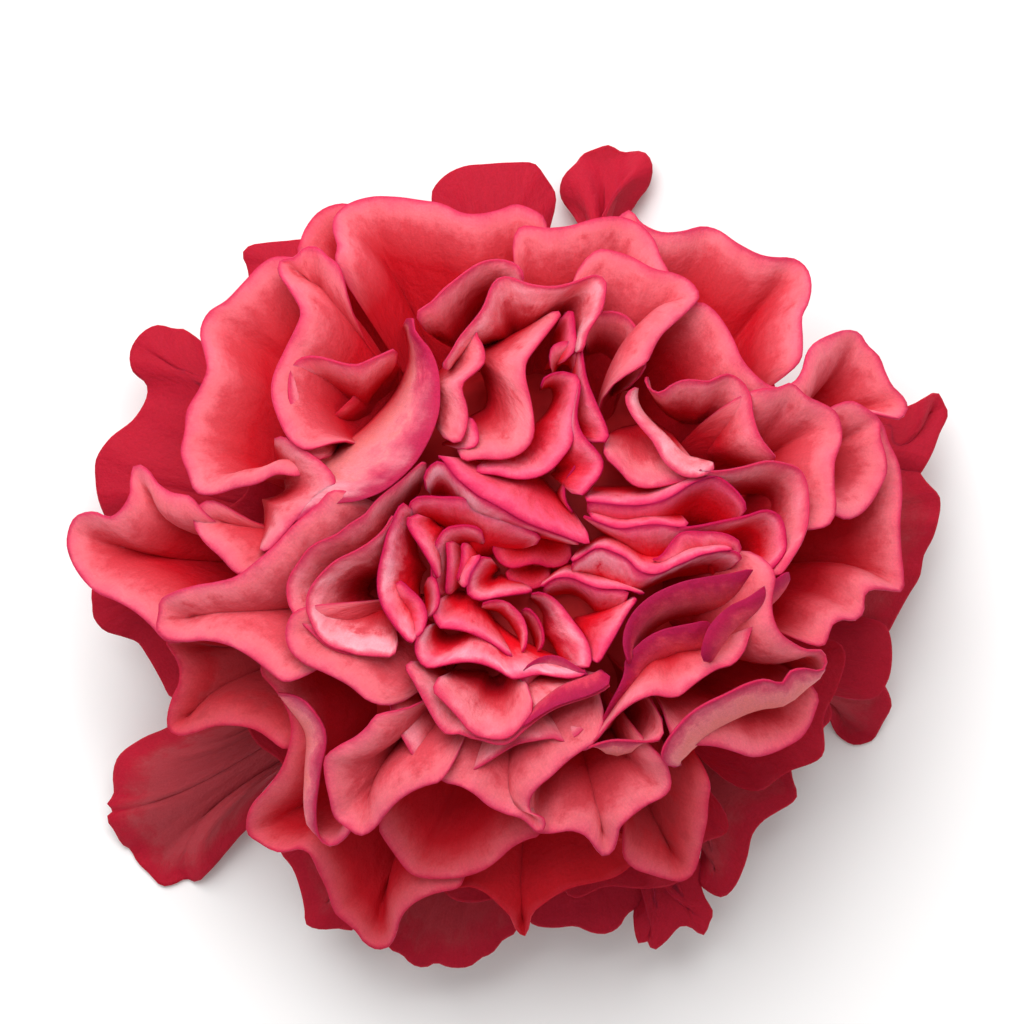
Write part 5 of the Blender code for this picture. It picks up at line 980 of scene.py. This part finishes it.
class ROSE_OT_stage(bpy.types.Operator):
    """Sets the pale floor, the soft light and the camera straight above the bloom"""

    bl_idname = "rose.stage"
    bl_label = "Studio"

    def execute(self, context):
        scene = context.scene
        bm = bmesh.new()
        bmesh.ops.create_grid(bm, x_segments=2, y_segments=2, size=FLOOR_M)
        mesh = bpy.data.meshes.new("floor")
        bm.to_mesh(mesh)
        bm.free()
        floor = bpy.data.objects.new("floor", mesh)
        scene.collection.objects.link(floor)
        paper, _, shader = material("white paper")
        shader.inputs["Base Color"].default_value = linear("#fafafa")
        shader.inputs["Roughness"].default_value = 0.9
        mesh.materials.append(paper)
        world = bpy.data.worlds.new("studio")
        world.use_nodes = True
        sky = world.node_tree.nodes["Background"]
        sky.inputs["Color"].default_value = (1.0, 0.99, 0.98, 1.0)
        sky.inputs["Strength"].default_value = SKY
        scene.world = world
        for name, place, size, power in LIGHTS:
            lamp = bpy.data.lights.new(name, "AREA")
            lamp.size, lamp.energy = size, power
            holder = bpy.data.objects.new(name, lamp)
            scene.collection.objects.link(holder)
            holder.location = place
            holder.rotation_euler = (Vector(AIM) - Vector(place)).to_track_quat("-Z", "Y").to_euler()
        eye = bpy.data.cameras.new("camera")
        eye.sensor_width = SENSOR_MM
        eye.lens = SENSOR_MM * CAMERA_FAR / FRAME_M
        holder = bpy.data.objects.new("camera", eye)
        scene.collection.objects.link(holder)
        holder.location = (*FRAME_AT, MIDDLE_HIGH + CAMERA_FAR)
        scene.camera = holder
        scene.view_settings.view_transform = "Standard"
        return {"FINISHED"}


# The studio in metres: half the floor's side, each light's place, size and watts, and what they aim at.
FLOOR_M = 2.0
SKY = 0.55
LIGHTS = (("key", (-0.15, 0.62, 0.92), 1.0, 15.0),)
AIM = (0.0, 0.0, 0.03)
# The camera's height over the middle of the bloom's height, and the width and middle of what it frames.
CAMERA_FAR, MIDDLE_HIGH = 1.6, 0.038
FRAME_M, FRAME_AT = 0.1352, (0.0004, 0.0057)
SENSOR_MM = 36.0


class ROSE_PT_panel(bpy.types.Panel):
    """The bloom's sizes, colours and pieces"""

    bl_idname = "ROSE_PT_panel"
    bl_label = "Rose bloom"
    bl_space_type = "VIEW_3D"
    bl_region_type = "UI"
    bl_category = "Rose"

    def draw(self, context):
        for key in RoseSizes.__annotations__:
            self.layout.prop(context.scene.rose_sizes, key)
        for maker in MAKERS:
            self.layout.operator(maker.bl_idname)


MAKERS = (ROSE_OT_stage, ROSE_OT_guards, ROSE_OT_outer, ROSE_OT_heart, ROSE_OT_calyx)
CLASSES = (RoseSizes, *MAKERS, ROSE_PT_panel)


def register():
    for kind in CLASSES:
        bpy.utils.register_class(kind)
    bpy.types.Scene.rose_sizes = PointerProperty(type=RoseSizes)


def unregister():
    del bpy.types.Scene.rose_sizes
    for kind in reversed(CLASSES):
        bpy.utils.unregister_class(kind)


def main():
    register()
    bpy.ops.rose.stage()
    bpy.ops.rose.guards()
    bpy.ops.rose.outer()
    bpy.ops.rose.heart()
    bpy.ops.rose.calyx()


if __name__ == "__main__":
    main()
